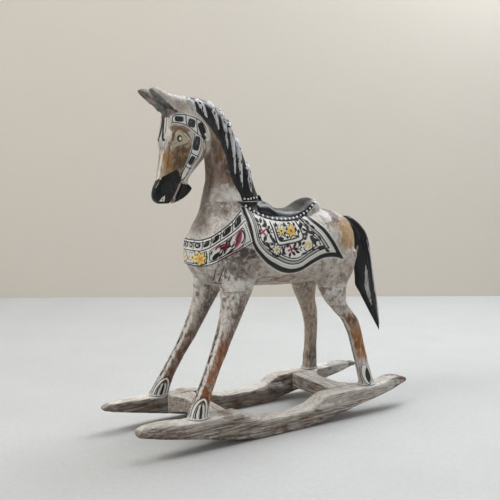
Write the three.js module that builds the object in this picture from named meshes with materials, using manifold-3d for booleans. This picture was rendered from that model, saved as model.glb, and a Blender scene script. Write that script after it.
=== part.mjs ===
// Wooden horse figurine on a rocking base. Millimetres, +Z up, the horse faces -X,
// its left side is -Y, origin under the middle of the bounding box on the floor.
import * as THREE from 'three';
import { mergeVertices } from 'three/addons/utils/BufferGeometryUtils.js';
import Module from 'manifold-3d';

const wasm = await Module();
wasm.setup();

// ---------------------------------------------------------------- driving sizes
const GAP = 0.3;                 // glue line between two neighbouring pieces
const SEG = 20;                  // points round a body section

const rocker = {
  halfLength: 97.5, centreY: 26.5, halfWidth: 5.5, tipHalfWidth: 2.6,
  curveSlope: 0.218, curveBlend: 10, lowestX: -5, wearFlat: 30,
  platformZ: 17.9, bumpFrontX: -36, bumpRearX: 29, dipX: -5, dipZ: 10.5,
  // hand-cut tips, x and height of the top edge, one pair higher than the other
  frontTip: { left: [[-97.5, 18.6], [-92, 19.4], [-80, 19.0]], right: [[-97.5, 16.8], [-92, 17.8], [-80, 17.9]] },
  rearTip: { left: [[75, 18.8], [80, 20.2], [85, 20.4], [91, 19.3], [96.5, 17.8]],
    right: [[75, 18.4], [80, 18.7], [86, 18.2], [91, 17.3], [96.5, 15.6]] },
};
const crossbar = {
  topZ: 17.9, archZ: 8.6, endZ: 6.0,
  frontInnerX: -39, frontWaistX: -49.5, frontFlareX: -57.5,
  rearInnerX: 37.2, rearWaistX: 50, rearFlareX: 59.5,
};
const seam = { foreleg: 85.9, hindleg: 82.9, neck: 137.1, foot: rocker.platformZ };

// stations: one row per cut through the body, values run smoothly in between
const trunkRows = [
  //   x     top    bottom  half-width  height of widest
  [-51.0, 108.5, 103.5,  2.5, 106.0],
  [-49.7, 113.5,  99.0,  8.0, 106.0],
  [-47.0, 120.5,  94.5, 13.2, 106.0],
  [-43.0, 127.0,  90.5, 17.2, 105.0],
  [-37.0, 131.0,  87.5, 20.2, 104.0],
  [-28.0, 132.0,  86.0, 21.8, 103.0],
  [-15.0, 132.0,  85.5, 21.4, 104.0],
  [  0.0, 131.5,  84.8, 20.4, 106.0],
  [ 12.0, 130.5,  84.2, 20.2, 107.0],
  [ 25.0, 130.8,  84.4, 20.8, 108.0],
  [ 38.0, 132.0,  85.5, 22.0, 109.0],
  [ 49.0, 130.7,  87.0, 21.4, 110.0],
  [ 56.0, 128.2,  89.2, 18.6, 110.0],
  [ 61.5, 124.2,  93.2, 14.2, 109.5],
  [ 65.0, 119.6,  99.0,  9.2, 108.5],
  [ 66.6, 114.0, 105.0,  3.8, 108.5],
];
const neckRows = [
  //   z    front    rear   half-width
  [112.0, -48.5,   4.0, 19.0],
  [120.0, -46.2,   3.0, 16.6],
  [128.0, -43.6,   1.0, 13.8],
  [137.1, -42.0,  -2.6, 11.0],
  [145.5, -40.2,  -6.6,  9.2],
  [150.0, -39.1,  -8.2,  8.5],
  [156.0, -39.2, -10.2,  8.0],
  [162.0, -39.8, -13.6,  7.7],
  [168.0, -42.5, -16.2,  7.5],
  [174.0, -46.0, -19.4,  7.3],
  [180.0, -50.0, -22.8,  7.0],
  [186.0, -54.5, -26.6,  6.6],
  [191.0, -57.5, -31.6,  6.0],
  [194.5, -57.5, -37.4,  4.8],
  [196.4, -55.0, -43.5,  2.6],
];
const headRows = [
  //   z    front    rear   half-width
  [136.6, -71.0, -61.5,  2.4],
  [138.2, -73.2, -57.6,  3.8],
  [141.5, -74.0, -52.4,  4.6],
  [145.3, -73.4, -49.6,  4.9],
  [148.4, -71.8, -52.4,  5.1],
  [152.0, -70.6, -51.0,  5.5],
  [157.0, -69.6, -46.8,  6.5],
  [162.0, -68.6, -43.4,  7.6],
  [167.0, -68.0, -42.0,  8.4],
  [172.5, -68.4, -41.5,  8.8],
  [177.0, -67.6, -41.5,  8.8],
  [182.0, -66.8, -43.0,  8.4],
  [187.0, -66.2, -46.0,  7.6],
  [191.5, -64.5, -49.0,  6.0],
  [194.5, -61.0, -50.0,  3.6],
];
const forelegRows = [
  //  z      x      y    half-depth half-width
  [ 17.9, -60.2, 26.2, 6.0, 5.0],
  [ 24.0, -58.2, 24.9, 5.3, 4.6],
  [ 30.0, -55.5, 24.2, 4.6, 4.1],
  [ 42.0, -49.1, 22.3, 4.5, 3.9],
  [ 54.0, -42.6, 20.2, 5.1, 4.5],
  [ 66.0, -36.9, 19.0, 6.0, 5.2],
  [ 78.0, -31.8, 17.8, 7.8, 6.3],
  [ 86.0, -29.4, 16.8, 10.2, 7.2],
  [ 96.0, -28.0, 14.6, 12.4, 7.8],
  [106.0, -27.0, 12.6, 12.6, 7.4],
];
const hindlegRows = [
  //  z      x      y    half-depth half-width   lead of one foot over the other
  [ 17.9, 59.7, 26.0, 5.2, 4.6, 3.9],
  [ 24.0, 58.7, 25.0, 4.8, 4.4, 3.5],
  [ 36.0, 57.0, 22.8, 4.4, 3.9, 3.0],
  [ 48.0, 55.4, 20.6, 4.6, 4.0, 2.7],
  [ 56.0, 53.6, 19.2, 5.1, 4.5, 2.6],
  [ 61.0, 51.7, 18.3, 5.5, 4.9, 2.2],
  [ 67.0, 47.8, 17.3, 6.0, 5.2, 1.0],
  [ 74.0, 44.2, 16.2, 7.4, 5.9, 0.0],
  [ 83.0, 42.8, 15.0, 10.2, 7.2, 0.0],
  [ 92.0, 46.0, 13.8, 13.4, 8.0, 0.0],
  [102.0, 49.0, 12.4, 14.2, 8.6, 0.0],
  [110.0, 50.0, 11.6, 12.0, 8.2, 0.0],
];
const tailRows = [
  //  z     front   rear   half-thickness
  [126.5, 57.5, 68.5, 1.8],
  [124.0, 58.5, 73.0, 3.2],
  [120.0, 61.0, 78.5, 3.9],
  [114.0, 64.5, 83.6, 4.4],
  [106.0, 66.0, 86.6, 4.6],
  [100.0, 69.8, 87.6, 4.6],
  [ 94.0, 72.6, 88.5, 4.5],
  [ 84.0, 74.2, 90.8, 4.2],
  [ 80.0, 74.4, 91.7, 4.0],
  [ 72.0, 79.2, 93.3, 3.5],
  [ 60.0, 86.9, 95.6, 2.6],
  [ 50.0, 93.2, 97.2, 1.5],
  [ 43.5, 97.0, 97.5, 0.4],
];
// carved ornament standing proud of the body, seen from the side
const relief = { seat: 1.2, blanket: 0.8, collar: 0.8 };
const seatRimRows = [      // x, lower edge of the seat
  [-23.0, 135.6], [-17.3, 132.2], [-12.5, 129.8], [-6.6, 127.8], [0.0, 126.4], [7.0, 126.0],
  [13.0, 126.3], [18.7, 127.4], [24.0, 129.2], [29.6, 132.6], [33.0, 135.0],
];
const seatRows = [
  //   x     top    rim    half-width
  [-10.0, 137.0, 130.0, 12.0],
  [ -3.0, 137.3, 127.4, 12.8],
  [  4.0, 133.6, 126.2, 12.9],
  [ 12.0, 132.1, 126.2, 12.9],
  [ 18.0, 132.2, 127.2, 12.8],
  [ 23.5, 134.0, 128.8, 12.2],
  [ 29.0, 137.5, 130.5, 11.4],
  [ 33.0, 138.7, 131.5, 10.6],
  [ 37.0, 137.5, 132.0,  8.8],
  [ 39.8, 134.6, 132.0,  4.4],
];
const blanketLowRows = [   // x, lower edge of the blanket
  [-21.2, 115.7], [-20.0, 111.5], [-17.1, 107.2], [-10.5, 101.0], [-1.0, 95.8], [7.5, 93.6],
  [15.8, 94.5], [23.3, 98.6], [31.1, 101.8], [39.0, 102.0], [46.3, 100.2],
];
const blanketRearRows = [  // x, rear edge of the blanket
  [27.4, 125.5], [32.3, 120.4], [36.9, 113.8], [42.3, 105.9], [46.3, 100.2],
];
const collarUpperRows = [  // x, upper edge of the breast collar
  [-60.0, 115.6], [-50.0, 115.6], [-46.1, 117.0], [-40.0, 120.9], [-31.4, 126.5], [-22.4, 133.2],
];
const collarLowerRows = [
  [-60.0, 100.2], [-50.0, 100.2], [-46.3, 101.3], [-39.1, 105.2], [-31.1, 109.0], [-20.9, 113.6],
];
const ear = { baseX: -62.8, baseY: 4.7, baseZ: 187.0, tipX: -78.2, tipY: 8.3,
  tipZ: { left: 198.7, right: 199.8 }, halfWidth: 5.4, back: 12.5, tipSize: 2.4, hollow: 0.3 };
const brow = { x: -63.2, y: 6.6, z: 173.6, rx: 4.0, ry: 2.6, rz: 4.2 };
const mouth = { footX: -64.6, footZ: 134.5, width: 2.0, endX: -58.4, endZ: 147.6, sideDepth: 1.1 };
const mane = { halfWidth: 1.9, thickness: 1.3, crestRise: 1.3 };
const lockRows = [
  //  top x   top z  mid x  mid z   end x   end z
  [ -53.0, 196.0, -51.3, 192.4, -49.0, 188.0],
  [ -47.0, 196.2, -45.3, 191.0, -42.0, 184.6],
  [ -38.6, 195.6, -37.0, 189.0, -34.6, 177.6],
  [ -31.6, 191.6, -30.4, 183.6, -29.3, 166.4],
  [ -25.4, 185.6, -25.2, 174.6, -24.4, 151.0],
  [ -19.9, 176.2, -20.4, 163.4, -19.8, 144.0],
  [ -12.2, 160.9, -13.2, 153.0, -12.4, 141.5],
];

// ---------------------------------------------------------------- small helpers
function pchip(rows, col) {
  const n = rows.length, x = rows.map((r) => r[0]), y = rows.map((r) => r[col]);
  const d = [], m = new Array(n).fill(0);
  for (let i = 0; i < n - 1; i++) d.push((y[i + 1] - y[i]) / (x[i + 1] - x[i]));
  m[0] = d[0]; m[n - 1] = d[n - 2];
  for (let i = 1; i < n - 1; i++) {
    if (d[i - 1] * d[i] <= 0) { m[i] = 0; continue; }
    const h0 = x[i] - x[i - 1], h1 = x[i + 1] - x[i];
    const w0 = 2 * h1 + h0, w1 = h1 + 2 * h0;
    m[i] = (w0 + w1) / (w0 / d[i - 1] + w1 / d[i]);
  }
  return (t) => {
    let i = 0;
    const up = x[n - 1] > x[0];
    while (i < n - 2 && (up ? t > x[i + 1] : t < x[i + 1])) i++;
    const h = x[i + 1] - x[i], s = Math.min(1, Math.max(0, (t - x[i]) / h));
    const s2 = s * s, s3 = s2 * s;
    return (2 * s3 - 3 * s2 + 1) * y[i] + (s3 - 2 * s2 + s) * h * m[i]
      + (-2 * s3 + 3 * s2) * y[i + 1] + (s3 - s2) * h * m[i + 1];
  };
}
const pw = (v, e) => Math.sign(v) * Math.pow(Math.abs(v), e);

// cut positions: every row, plus extra ones so that no step is longer than `step`
function positions(rows, step, from = -Infinity, to = Infinity) {
  const lo = Math.min(rows[0][0], rows[rows.length - 1][0]);
  const hi = Math.max(rows[0][0], rows[rows.length - 1][0]);
  const keys = rows.map((r) => r[0]).concat([from, to])
    .filter((v) => v >= Math.max(lo, from) && v <= Math.min(hi, to)).sort((a, b) => a - b);
  const out = [keys[0]];
  for (let i = 1; i < keys.length; i++) {
    const len = keys[i] - keys[i - 1];
    if (len < 1e-6) continue;
    const n = Math.max(1, Math.ceil(len / step - 1e-9));
    for (let k = 1; k <= n; k++) out.push(keys[i - 1] + (len * k) / n);
  }
  return out;
}

function solid(geometry) {
  for (const name of ['normal', 'uv']) geometry.deleteAttribute(name);
  const g = mergeVertices(geometry, 1e-4);
  return new wasm.Manifold(new wasm.Mesh({ numProp: 3,
    vertProperties: new Float32Array(g.attributes.position.array), triVerts: new Uint32Array(g.index.array) }));
}
// closed body through a row of rings with equal point counts
function loft(rings) {
  const n = rings[0].length, pos = [], idx = [];
  for (const r of rings) for (const p of r) pos.push(p[0], p[1], p[2]);
  for (let k = 0; k < rings.length - 1; k++)
    for (let i = 0; i < n; i++) {
      const a = k * n + i, b = k * n + ((i + 1) % n), c = a + n, d = b + n;
      idx.push(a, b, d, a, d, c);
    }
  for (const k of [0, rings.length - 1]) {
    const c = rings[k].reduce((s, p) => [s[0] + p[0] / n, s[1] + p[1] / n, s[2] + p[2] / n], [0, 0, 0]);
    const ci = pos.length / 3;
    pos.push(...c);
    for (let i = 0; i < n; i++) {
      const a = k * n + i, b = k * n + ((i + 1) % n);
      if (k === 0) idx.push(ci, b, a); else idx.push(ci, a, b);
    }
  }
  let vol = 0;
  for (let t = 0; t < idx.length; t += 3) {
    const [a, b, c] = [idx[t] * 3, idx[t + 1] * 3, idx[t + 2] * 3];
    vol += pos[a] * (pos[b + 1] * pos[c + 2] - pos[b + 2] * pos[c + 1])
      - pos[a + 1] * (pos[b] * pos[c + 2] - pos[b + 2] * pos[c])
      + pos[a + 2] * (pos[b] * pos[c + 1] - pos[b + 1] * pos[c]);
  }
  if (vol < 0) for (let t = 0; t < idx.length; t += 3) [idx[t + 1], idx[t + 2]] = [idx[t + 2], idx[t + 1]];
  const g = new THREE.BufferGeometry();
  g.setAttribute('position', new THREE.Float32BufferAttribute(pos, 3));
  g.setIndex(idx);
  return solid(g);
}
// plate with the outline seen from the side (x, z), reaching from y0 to y1
function plate(outline, y0, y1) {
  const shape = new THREE.Shape(outline.map(([x, z]) => new THREE.Vector2(x, z)));
  const g = new THREE.ExtrudeGeometry(shape, { depth: y1 - y0, bevelEnabled: false, steps: 1 });
  g.rotateX(Math.PI / 2);                // the outline stands up, the depth runs along -y
  g.translate(0, y1, 0);
  return solid(g);
}
const box = (x0, x1, y0, y1, z0, z1) => solid(
  new THREE.BoxGeometry(x1 - x0, y1 - y0, z1 - z0).translate((x0 + x1) / 2, (y0 + y1) / 2, (z0 + z1) / 2));

// ring standing across the X axis
function ringX(x, top, bottom, half, mid, nUp, nLow, seg = SEG) {
  const out = [];
  for (let i = 0; i < seg; i++) {
    const t = (2 * Math.PI * i) / seg, c = Math.cos(t), s = Math.sin(t);
    const e = 2 / (s > 0 ? nUp : nLow);
    out.push([x, half * pw(c, e), mid + (s > 0 ? top - mid : mid - bottom) * pw(s, e)]);
  }
  return out;
}
// lying ring: front and rear ends, widest at `mid` (0..1 from the front), narrower face
function ringZ(z, front, rear, half, { mid = 0.5, nF = 2, nR = 2, face = 1, y = 0, seg = SEG } = {}) {
  const out = [], xm = front + (rear - front) * mid;
  for (let i = 0; i < seg; i++) {
    const t = (2 * Math.PI * i) / seg, c = Math.cos(t), s = Math.sin(t);
    const e = 2 / (c > 0 ? nR : nF);
    const w = c < 0 ? 1 + (face - 1) * pw(-c, e) : 1;
    out.push([xm + (c > 0 ? rear - xm : xm - front) * pw(c, e), y + half * w * pw(s, e), z]);
  }
  return out;
}

// ---------------------------------------------------------------- bodies
function trunkBody(grow = 0) {
  const [t, b, h, m] = [1, 2, 3, 4].map((c) => pchip(trunkRows, c));
  const xs = positions(trunkRows, 11);
  return loft(xs.map((x) => ringX(x + (x < -45 ? -grow : x > 60 ? grow : 0),
    t(x) + grow, b(x) - grow, h(x) + grow, m(x), 2.15, 2.35, SEG)));
}
function neckBody(grow = 0, from = -Infinity, to = Infinity) {
  const [f, r, h] = [1, 2, 3].map((c) => pchip(neckRows, c));
  return loft(positions(neckRows, 8, from, to).map((z) =>
    ringZ(z, f(z) - grow, r(z), h(z) + grow, { mid: z > 165 ? 0.42 : 0.36, nF: 2.2, nR: 1.65, seg: SEG })));
}
function headBody() {
  const [f, r, h] = [1, 2, 3].map((c) => pchip(headRows, c));
  return loft(positions(headRows, 5).map((z) =>
    ringZ(z, f(z), r(z), h(z), { mid: 0.45, nF: 3.6, nR: 2.6, face: 0.84, seg: SEG })));
}
// a leg leans outward to its rocker; side is -1 for the horse's left, +1 for its right
function legBody(rows, side, from, to, seg = 16) {
  const [x, y, a, b] = [1, 2, 3, 4].map((c) => pchip(rows, c));
  const lead = rows[0].length > 5 ? pchip(rows, 5) : () => 0;
  return loft(positions(rows, 12, from, to).map((z) => {
    const cx = x(z) - side * lead(z);
    return ringZ(z, cx - a(z), cx + a(z), b(z), { y: side * y(z), nF: 2.2, nR: 2.2, seg });
  }));
}
function tailBody() {
  const [f, r, h] = [1, 2, 3].map((c) => pchip(tailRows, c));
  return loft(positions(tailRows, 9).map((z) => ringZ(z, f(z), r(z), h(z), { nF: 1.7, nR: 1.9, seg: 12 })));
}
function seatBody() {
  const [t, m, h] = [1, 2, 3].map((c) => pchip(seatRows, c));
  return loft(positions(seatRows, 5).map((x) => ringX(x, t(x), m(x) - 7, h(x), m(x), 2.3, 2.0, 20)));
}
// swollen copy of the neck base and barrel, cut out by an outline seen from the side
function reliefOver(outline, grow) {
  const skin = trunkBody(grow).add(neckBody(grow, 112, seam.neck));
  return skin.intersect(plate(outline, -40, 40));
}
const edge = (rows) => positions(rows, 5).map((x) => [x, pchip(rows, 1)(x)]);
function seatRelief() {
  return reliefOver([...edge(seatRimRows), [38, 150], [-23, 150]], relief.seat);
}
function blanketRelief() {
  return reliefOver([...edge(blanketLowRows), ...edge(blanketRearRows).reverse().slice(1),
    [24, 134], [-22.6, 134], [-21.2, 126]], relief.blanket);
}
function collarRelief() {
  return reliefOver([...edge(collarLowerRows), ...edge(collarUpperRows).reverse()], relief.collar);
}
// pricked ear: two ridges run from the forehead to the tip, hollow between them in
// front, rounded behind where it runs into the poll
function earBody(side) {
  const N = 7, M = 6, rings = [], E = ear;
  const A = new THREE.Vector3(E.baseX, side * E.baseY, E.baseZ);
  const B = new THREE.Vector3(E.tipX, side * E.tipY, side < 0 ? E.tipZ.left : E.tipZ.right);
  const dir = B.clone().sub(A).normalize();
  const back = new THREE.Vector3(0.63, 0, 0.75);
  back.addScaledVector(dir, -back.dot(dir)).normalize();
  const across = dir.clone().cross(back).normalize();
  for (let k = 0; k <= N; k++) {
    const s = 1 - k / N, c = B.clone().lerp(A, s);
    const w = E.tipSize * 0.8 + (E.halfWidth - E.tipSize * 0.8) * Math.pow(s, 0.7);
    const h = E.tipSize + (E.back - E.tipSize) * (0.66 * s + 0.34 * Math.pow(s, 4));
    const ring = [];
    for (let i = 0; i < 2 * M; i++) {
      const t = (Math.PI * i) / M, up = i <= M;
      const v = up ? h * Math.sin(t) : -E.hollow * h * Math.sin(t) * Math.min(1, 3 * s) * 0.5 - 0.2;
      const p = c.clone().addScaledVector(across, w * Math.cos(t)).addScaledVector(back, v);
      ring.push([p.x, p.y, p.z]);
    }
    rings.push(ring);
  }
  return loft(rings);
}
function ball(x, y, z, rx, ry, rz) {
  const rings = [];
  for (let k = 0; k <= 5; k++) {
    const t = -Math.PI / 2 + (Math.PI * (k + 0.15)) / 5.3, w = Math.cos(t);
    rings.push(ringZ(z + rz * Math.sin(t), x - rx * w, x + rx * w, ry * w, { y, seg: 8 }));
  }
  return loft(rings);
}
// half-width of the neck at a point seen from the side
function neckHalf(x, z) {
  const [f, r, h] = [1, 2, 3].map((c) => pchip(neckRows, c)(Math.min(196, z)));
  const xm = f + (r - f) * (z > 165 ? 0.42 : 0.36);
  const u = Math.min(0.999, Math.abs(x > xm ? (x - xm) / (r - xm) : (x - xm) / (f - xm)));
  const n = x > xm ? 1.65 : 2.2;
  return h * Math.pow(1 - Math.pow(u, n), 1 / n);
}
// one carved lock: starts proud of the crest, lies down over the side of the neck
function lockBody(row, side) {
  const [x0, z0, x1, z1, x2, z2] = row, N = 5, M = 6, rings = [];
  for (let k = 0; k <= N; k++) {
    const s = k / N, q = 1 - s;
    const x = q * (1 - 2 * s) * x0 + 4 * s * q * x1 + s * (2 * s - 1) * x2;
    const z = q * (1 - 2 * s) * z0 + 4 * s * q * z1 + s * (2 * s - 1) * z2;
    let tx = (4 * s - 3) * x0 + 4 * (1 - 2 * s) * x1 + (4 * s - 1) * x2;
    let tz = (4 * s - 3) * z0 + 4 * (1 - 2 * s) * z1 + (4 * s - 1) * z2;
    const l = Math.hypot(tx, tz); tx /= l; tz /= l;
    const y = Math.max(0.7, neckHalf(x, z) - 0.1);
    const w = mane.halfWidth * Math.pow(Math.sin(Math.PI * (0.07 + 0.88 * s)), 0.7);
    const t = mane.thickness * Math.pow(Math.sin(Math.PI * (0.1 + 0.84 * s)), 0.6);
    const ring = [];
    for (let i = 0; i < M; i++) {
      const a = (2 * Math.PI * i) / M, c = Math.cos(a), d = Math.sin(a);
      ring.push([x - tz * w * c, side * (y + t * d), z + tx * w * c]);
    }
    rings.push(ring);
  }
  return loft(rings);
}

// ---------------------------------------------------------------- pieces
function rockerBody(side) {
  const R = rocker, hand = side < 0 ? 'left' : 'right';
  const bottom = (x) => {
    const d = Math.abs(x - R.lowestX), h = R.wearFlat / 2;
    return d <= h ? 0 : R.curveSlope * (Math.hypot(d - h, R.curveBlend) - R.curveBlend);
  };
  const topRows = [
    ...R.frontTip[hand], [-68, R.platformZ], [-52, R.platformZ], [R.bumpFrontX - 1, R.platformZ],
    [-31, 15.6], [-25.5, 13.0], [-17, 11.1], [R.dipX, R.dipZ], [7, 10.9], [14, 12.0], [20, 14.5],
    [25, 16.9], [R.bumpRearX + 1, R.platformZ], [56, R.platformZ], [70, R.platformZ],
    ...R.rearTip[hand],
  ];
  const top = pchip(topRows, 1);
  const rings = positions(topRows, 12).map((x) => {
    const e = Math.max(0, (Math.abs(x) - (R.halfLength - 30)) / 30);
    const hw = R.halfWidth - (R.halfWidth - R.tipHalfWidth) * Math.pow(e, 1.8);
    const cy = side * (R.centreY - 0.3 * e);
    let zt = top(x), zb = bottom(x);
    const c = 0.9;                       // worn edge
    const tip = Math.max(0, Math.abs(x) - (R.halfLength - 5)) / 5;
    zt -= tip * 0.7;
    if (zt - zb < 2.6) zb = zt - 2.6;
    return [[x, cy - hw, zb + c], [x, cy - hw + c, zb], [x, cy + hw - c, zb], [x, cy + hw, zb + c],
      [x, cy + hw, zt - c], [x, cy + hw - c, zt], [x, cy - hw + c, zt], [x, cy - hw, zt - c]];
  });
  return loft(rings);
}
function crossbarBody(inner, waist, flare) {
  const C = crossbar, half = rocker.centreY - rocker.halfWidth - GAP;
  const N = 10, rings = [];
  for (let k = 0; k <= N; k++) {
    const y = -half + (2 * half * k) / N, s = Math.abs(y) / half;
    const outer = waist + (flare - waist) * Math.pow(s, 3);
    const low = C.archZ - (C.archZ - C.endZ) * Math.pow(s, 4);
    const [x0, x1] = [Math.min(inner, outer), Math.max(inner, outer)];
    const c = 0.6;
    rings.push([[x0, y, low + c], [x0 + c, y, low], [x1 - c, y, low], [x1, y, low + c],
      [x1, y, C.topZ - c], [x1 - c, y, C.topZ], [x0 + c, y, C.topZ], [x0, y, C.topZ - c]]);
  }
  return loft(rings);
}

const pieces = {};
// trunk: barrel, neck base up to the glue line, shoulders and thighs down to theirs, seat
{
  let t = trunkBody();
  t = t.add(neckBody(0, 112, seam.neck));
  for (const s of [-1, 1]) {
    t = t.add(legBody(forelegRows, s, seam.foreleg, 106));
    t = t.add(legBody(hindlegRows, s, seam.hindleg, 104));
  }
  t = t.add(seatBody()).add(seatRelief()).add(blanketRelief()).add(collarRelief());
  t = t.intersect(box(-120, 120, -60, 60, 0, seam.neck).add(box(-3.2, 120, -60, 60, 0, 160)));
  pieces.trunk = t;
}
// head, neck, ears and mane carved from one block
{
  let h = neckBody(0, seam.neck + GAP, 196.4).add(headBody());
  for (const s of [-1, 1]) {
    h = h.add(earBody(s)).add(ball(brow.x, s * brow.y, brow.z, brow.rx, brow.ry, brow.rz));
    for (const row of lockRows) h = h.add(lockBody(row, s));
  }
  // mouth: a notch between the lips, a groove up each cheek
  const m = mouth;
  const slit = plate([[m.footX - m.width / 2, m.footZ], [m.footX + m.width / 2, m.footZ],
    [m.endX + 0.3, m.endZ], [m.endX - 0.3, m.endZ]], -12, 12);
  const cheek = 4.6 - m.sideDepth;
  const where = box(-80, -40, -12, -cheek, 130, 150).add(box(-80, -40, cheek, 12, 130, 150))
    .add(box(-80, -40, -12, 12, 130, 139.2));
  h = h.subtract(slit.intersect(where));
  h = h.intersect(box(-120, 40, -60, 60, 100, seam.neck + GAP + 100).subtract(
    box(-60, 40, -60, 60, 100, seam.neck + GAP)));
  pieces.neck_and_head = h;
}
for (const [name, side] of [['left', -1], ['right', 1]]) {
  pieces[`${name}_foreleg`] = legBody(forelegRows, side, seam.foot + GAP, seam.foreleg - GAP);
  pieces[`${name}_hindleg`] = legBody(hindlegRows, side, seam.foot + GAP, seam.hindleg - GAP);
  pieces[`${name}_rocker`] = rockerBody(side);
}
pieces.tail = tailBody().subtract(trunkBody(GAP));
pieces.front_crossbar = crossbarBody(crossbar.frontInnerX, crossbar.frontWaistX, crossbar.frontFlareX);
pieces.rear_crossbar = crossbarBody(crossbar.rearInnerX, crossbar.rearWaistX, crossbar.rearFlareX);

// ---------------------------------------------------------------- finish
const paint = {
  trunk: ['#b8b0a8', 0.62], neck_and_head: ['#a3937f', 0.6], tail: ['#2b2b2d', 0.5],
  left_foreleg: ['#a08c76', 0.62], right_foreleg: ['#a08c76', 0.62],
  left_hindleg: ['#a89680', 0.62], right_hindleg: ['#a89680', 0.62],
  left_rocker: ['#a59d94', 0.75], right_rocker: ['#a59d94', 0.75],
  front_crossbar: ['#a8a197', 0.75], rear_crossbar: ['#a8a197', 0.75],
};
const horse = new THREE.Group();
horse.name = 'rocking_horse_figurine';
for (const [name, body] of Object.entries(pieces)) {
  const m = body.getMesh();
  const g = new THREE.BufferGeometry();
  g.setAttribute('position', new THREE.BufferAttribute(new Float32Array(m.vertProperties), 3));
  g.setIndex(new THREE.BufferAttribute(new Uint32Array(m.triVerts), 1));
  g.computeVertexNormals();
  const [color, roughness] = paint[name];
  const mesh = new THREE.Mesh(g, new THREE.MeshStandardMaterial({ color, roughness, metalness: 0 }));
  mesh.name = name;
  horse.add(mesh);
}
export default horse;
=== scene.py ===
import math
import bpy
import numpy as np
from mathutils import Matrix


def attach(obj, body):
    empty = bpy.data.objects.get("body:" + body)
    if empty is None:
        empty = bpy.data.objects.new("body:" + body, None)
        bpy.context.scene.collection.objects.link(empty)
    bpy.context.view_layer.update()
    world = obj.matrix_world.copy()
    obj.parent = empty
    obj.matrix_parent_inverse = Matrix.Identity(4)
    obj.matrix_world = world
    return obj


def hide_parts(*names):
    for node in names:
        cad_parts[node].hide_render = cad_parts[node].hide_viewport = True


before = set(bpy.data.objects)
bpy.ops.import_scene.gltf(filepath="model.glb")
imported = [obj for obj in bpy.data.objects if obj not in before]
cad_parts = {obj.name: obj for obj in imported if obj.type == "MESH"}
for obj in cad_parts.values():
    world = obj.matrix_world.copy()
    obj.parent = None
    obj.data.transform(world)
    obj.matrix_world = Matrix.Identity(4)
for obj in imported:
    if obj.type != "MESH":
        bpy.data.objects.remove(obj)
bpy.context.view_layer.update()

import openvdb as vdb
from mathutils import Matrix, Vector
from mathutils.bvhtree import BVHTree

FINE = 1.0          # voxel multiplier while trying things
MM = 0.001

# ------------------------------------------------------------------ camera (mm)
CAM = dict(f=700.0, pitch=0.0977384, yaw=-0.5556980, roll=-0.0033738,
           at=(-235.385, -363.730, 149.002))

# ------------------------------------------------------------------ stations (mm)
TRUNK = [(-51.0, 108.5, 103.5, 2.5, 106.0), (-49.7, 113.5, 99.0, 8.0, 106.0),
         (-47.0, 120.5, 94.5, 13.2, 106.0), (-43.0, 127.0, 90.5, 17.2, 105.0),
         (-37.0, 131.0, 87.5, 20.2, 104.0), (-28.0, 132.0, 86.0, 21.8, 103.0),
         (-15.0, 132.0, 85.5, 21.4, 104.0), (0.0, 131.5, 84.8, 20.4, 106.0),
         (12.0, 130.5, 84.2, 20.2, 107.0), (25.0, 130.8, 84.4, 20.8, 108.0),
         (38.0, 132.0, 85.5, 22.0, 109.0), (49.0, 130.7, 87.0, 21.4, 110.0),
         (56.0, 128.2, 89.2, 18.6, 110.0), (61.5, 124.2, 93.2, 14.2, 109.5),
         (65.0, 119.6, 99.0, 9.2, 108.5), (66.6, 114.0, 105.0, 3.8, 108.5)]
NECK = [(112.0, -48.5, 4.0, 19.0), (120.0, -46.2, 3.0, 16.6), (128.0, -43.6, 1.0, 13.8),
        (137.1, -42.0, -2.6, 11.0), (145.5, -40.2, -6.6, 9.2), (150.0, -39.1, -8.2, 8.5),
        (156.0, -39.2, -10.2, 8.0), (162.0, -39.8, -13.6, 7.7), (168.0, -42.5, -16.2, 7.5),
        (174.0, -46.0, -19.4, 7.3), (180.0, -50.0, -22.8, 7.0), (186.0, -54.5, -26.6, 6.6),
        (191.0, -57.5, -31.6, 6.0), (194.5, -57.5, -37.4, 4.8), (196.4, -55.0, -43.5, 2.6)]
HEAD = [(136.6, -71.0, -61.5, 2.4), (138.2, -73.2, -57.6, 3.8), (141.5, -74.0, -52.4, 4.6),
        (145.3, -73.4, -49.6, 4.9), (148.4, -71.8, -52.4, 5.1), (152.0, -70.6, -51.0, 5.5),
        (157.0, -69.6, -46.8, 6.5), (162.0, -68.6, -43.4, 7.6), (167.0, -68.0, -42.0, 8.4),
        (172.5, -68.4, -41.5, 8.8), (177.0, -67.6, -41.5, 8.8), (182.0, -66.8, -43.0, 8.4),
        (187.0, -66.2, -46.0, 7.6), (191.5, -64.5, -49.0, 6.0), (194.5, -61.0, -50.0, 3.6)]
FORELEG = [(17.9, -60.2, 26.2, 6.0, 5.0), (24.0, -58.2, 24.9, 5.3, 4.6), (30.0, -55.5, 24.2, 4.6, 4.1),
           (42.0, -49.1, 22.3, 4.5, 3.9), (54.0, -42.6, 20.2, 5.1, 4.5), (66.0, -36.9, 19.0, 6.0, 5.2),
           (78.0, -31.8, 17.8, 7.8, 6.3), (86.0, -29.4, 16.8, 10.2, 7.2), (96.0, -28.0, 14.6, 12.4, 7.8),
           (106.0, -27.0, 12.6, 12.6, 7.4)]
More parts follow.
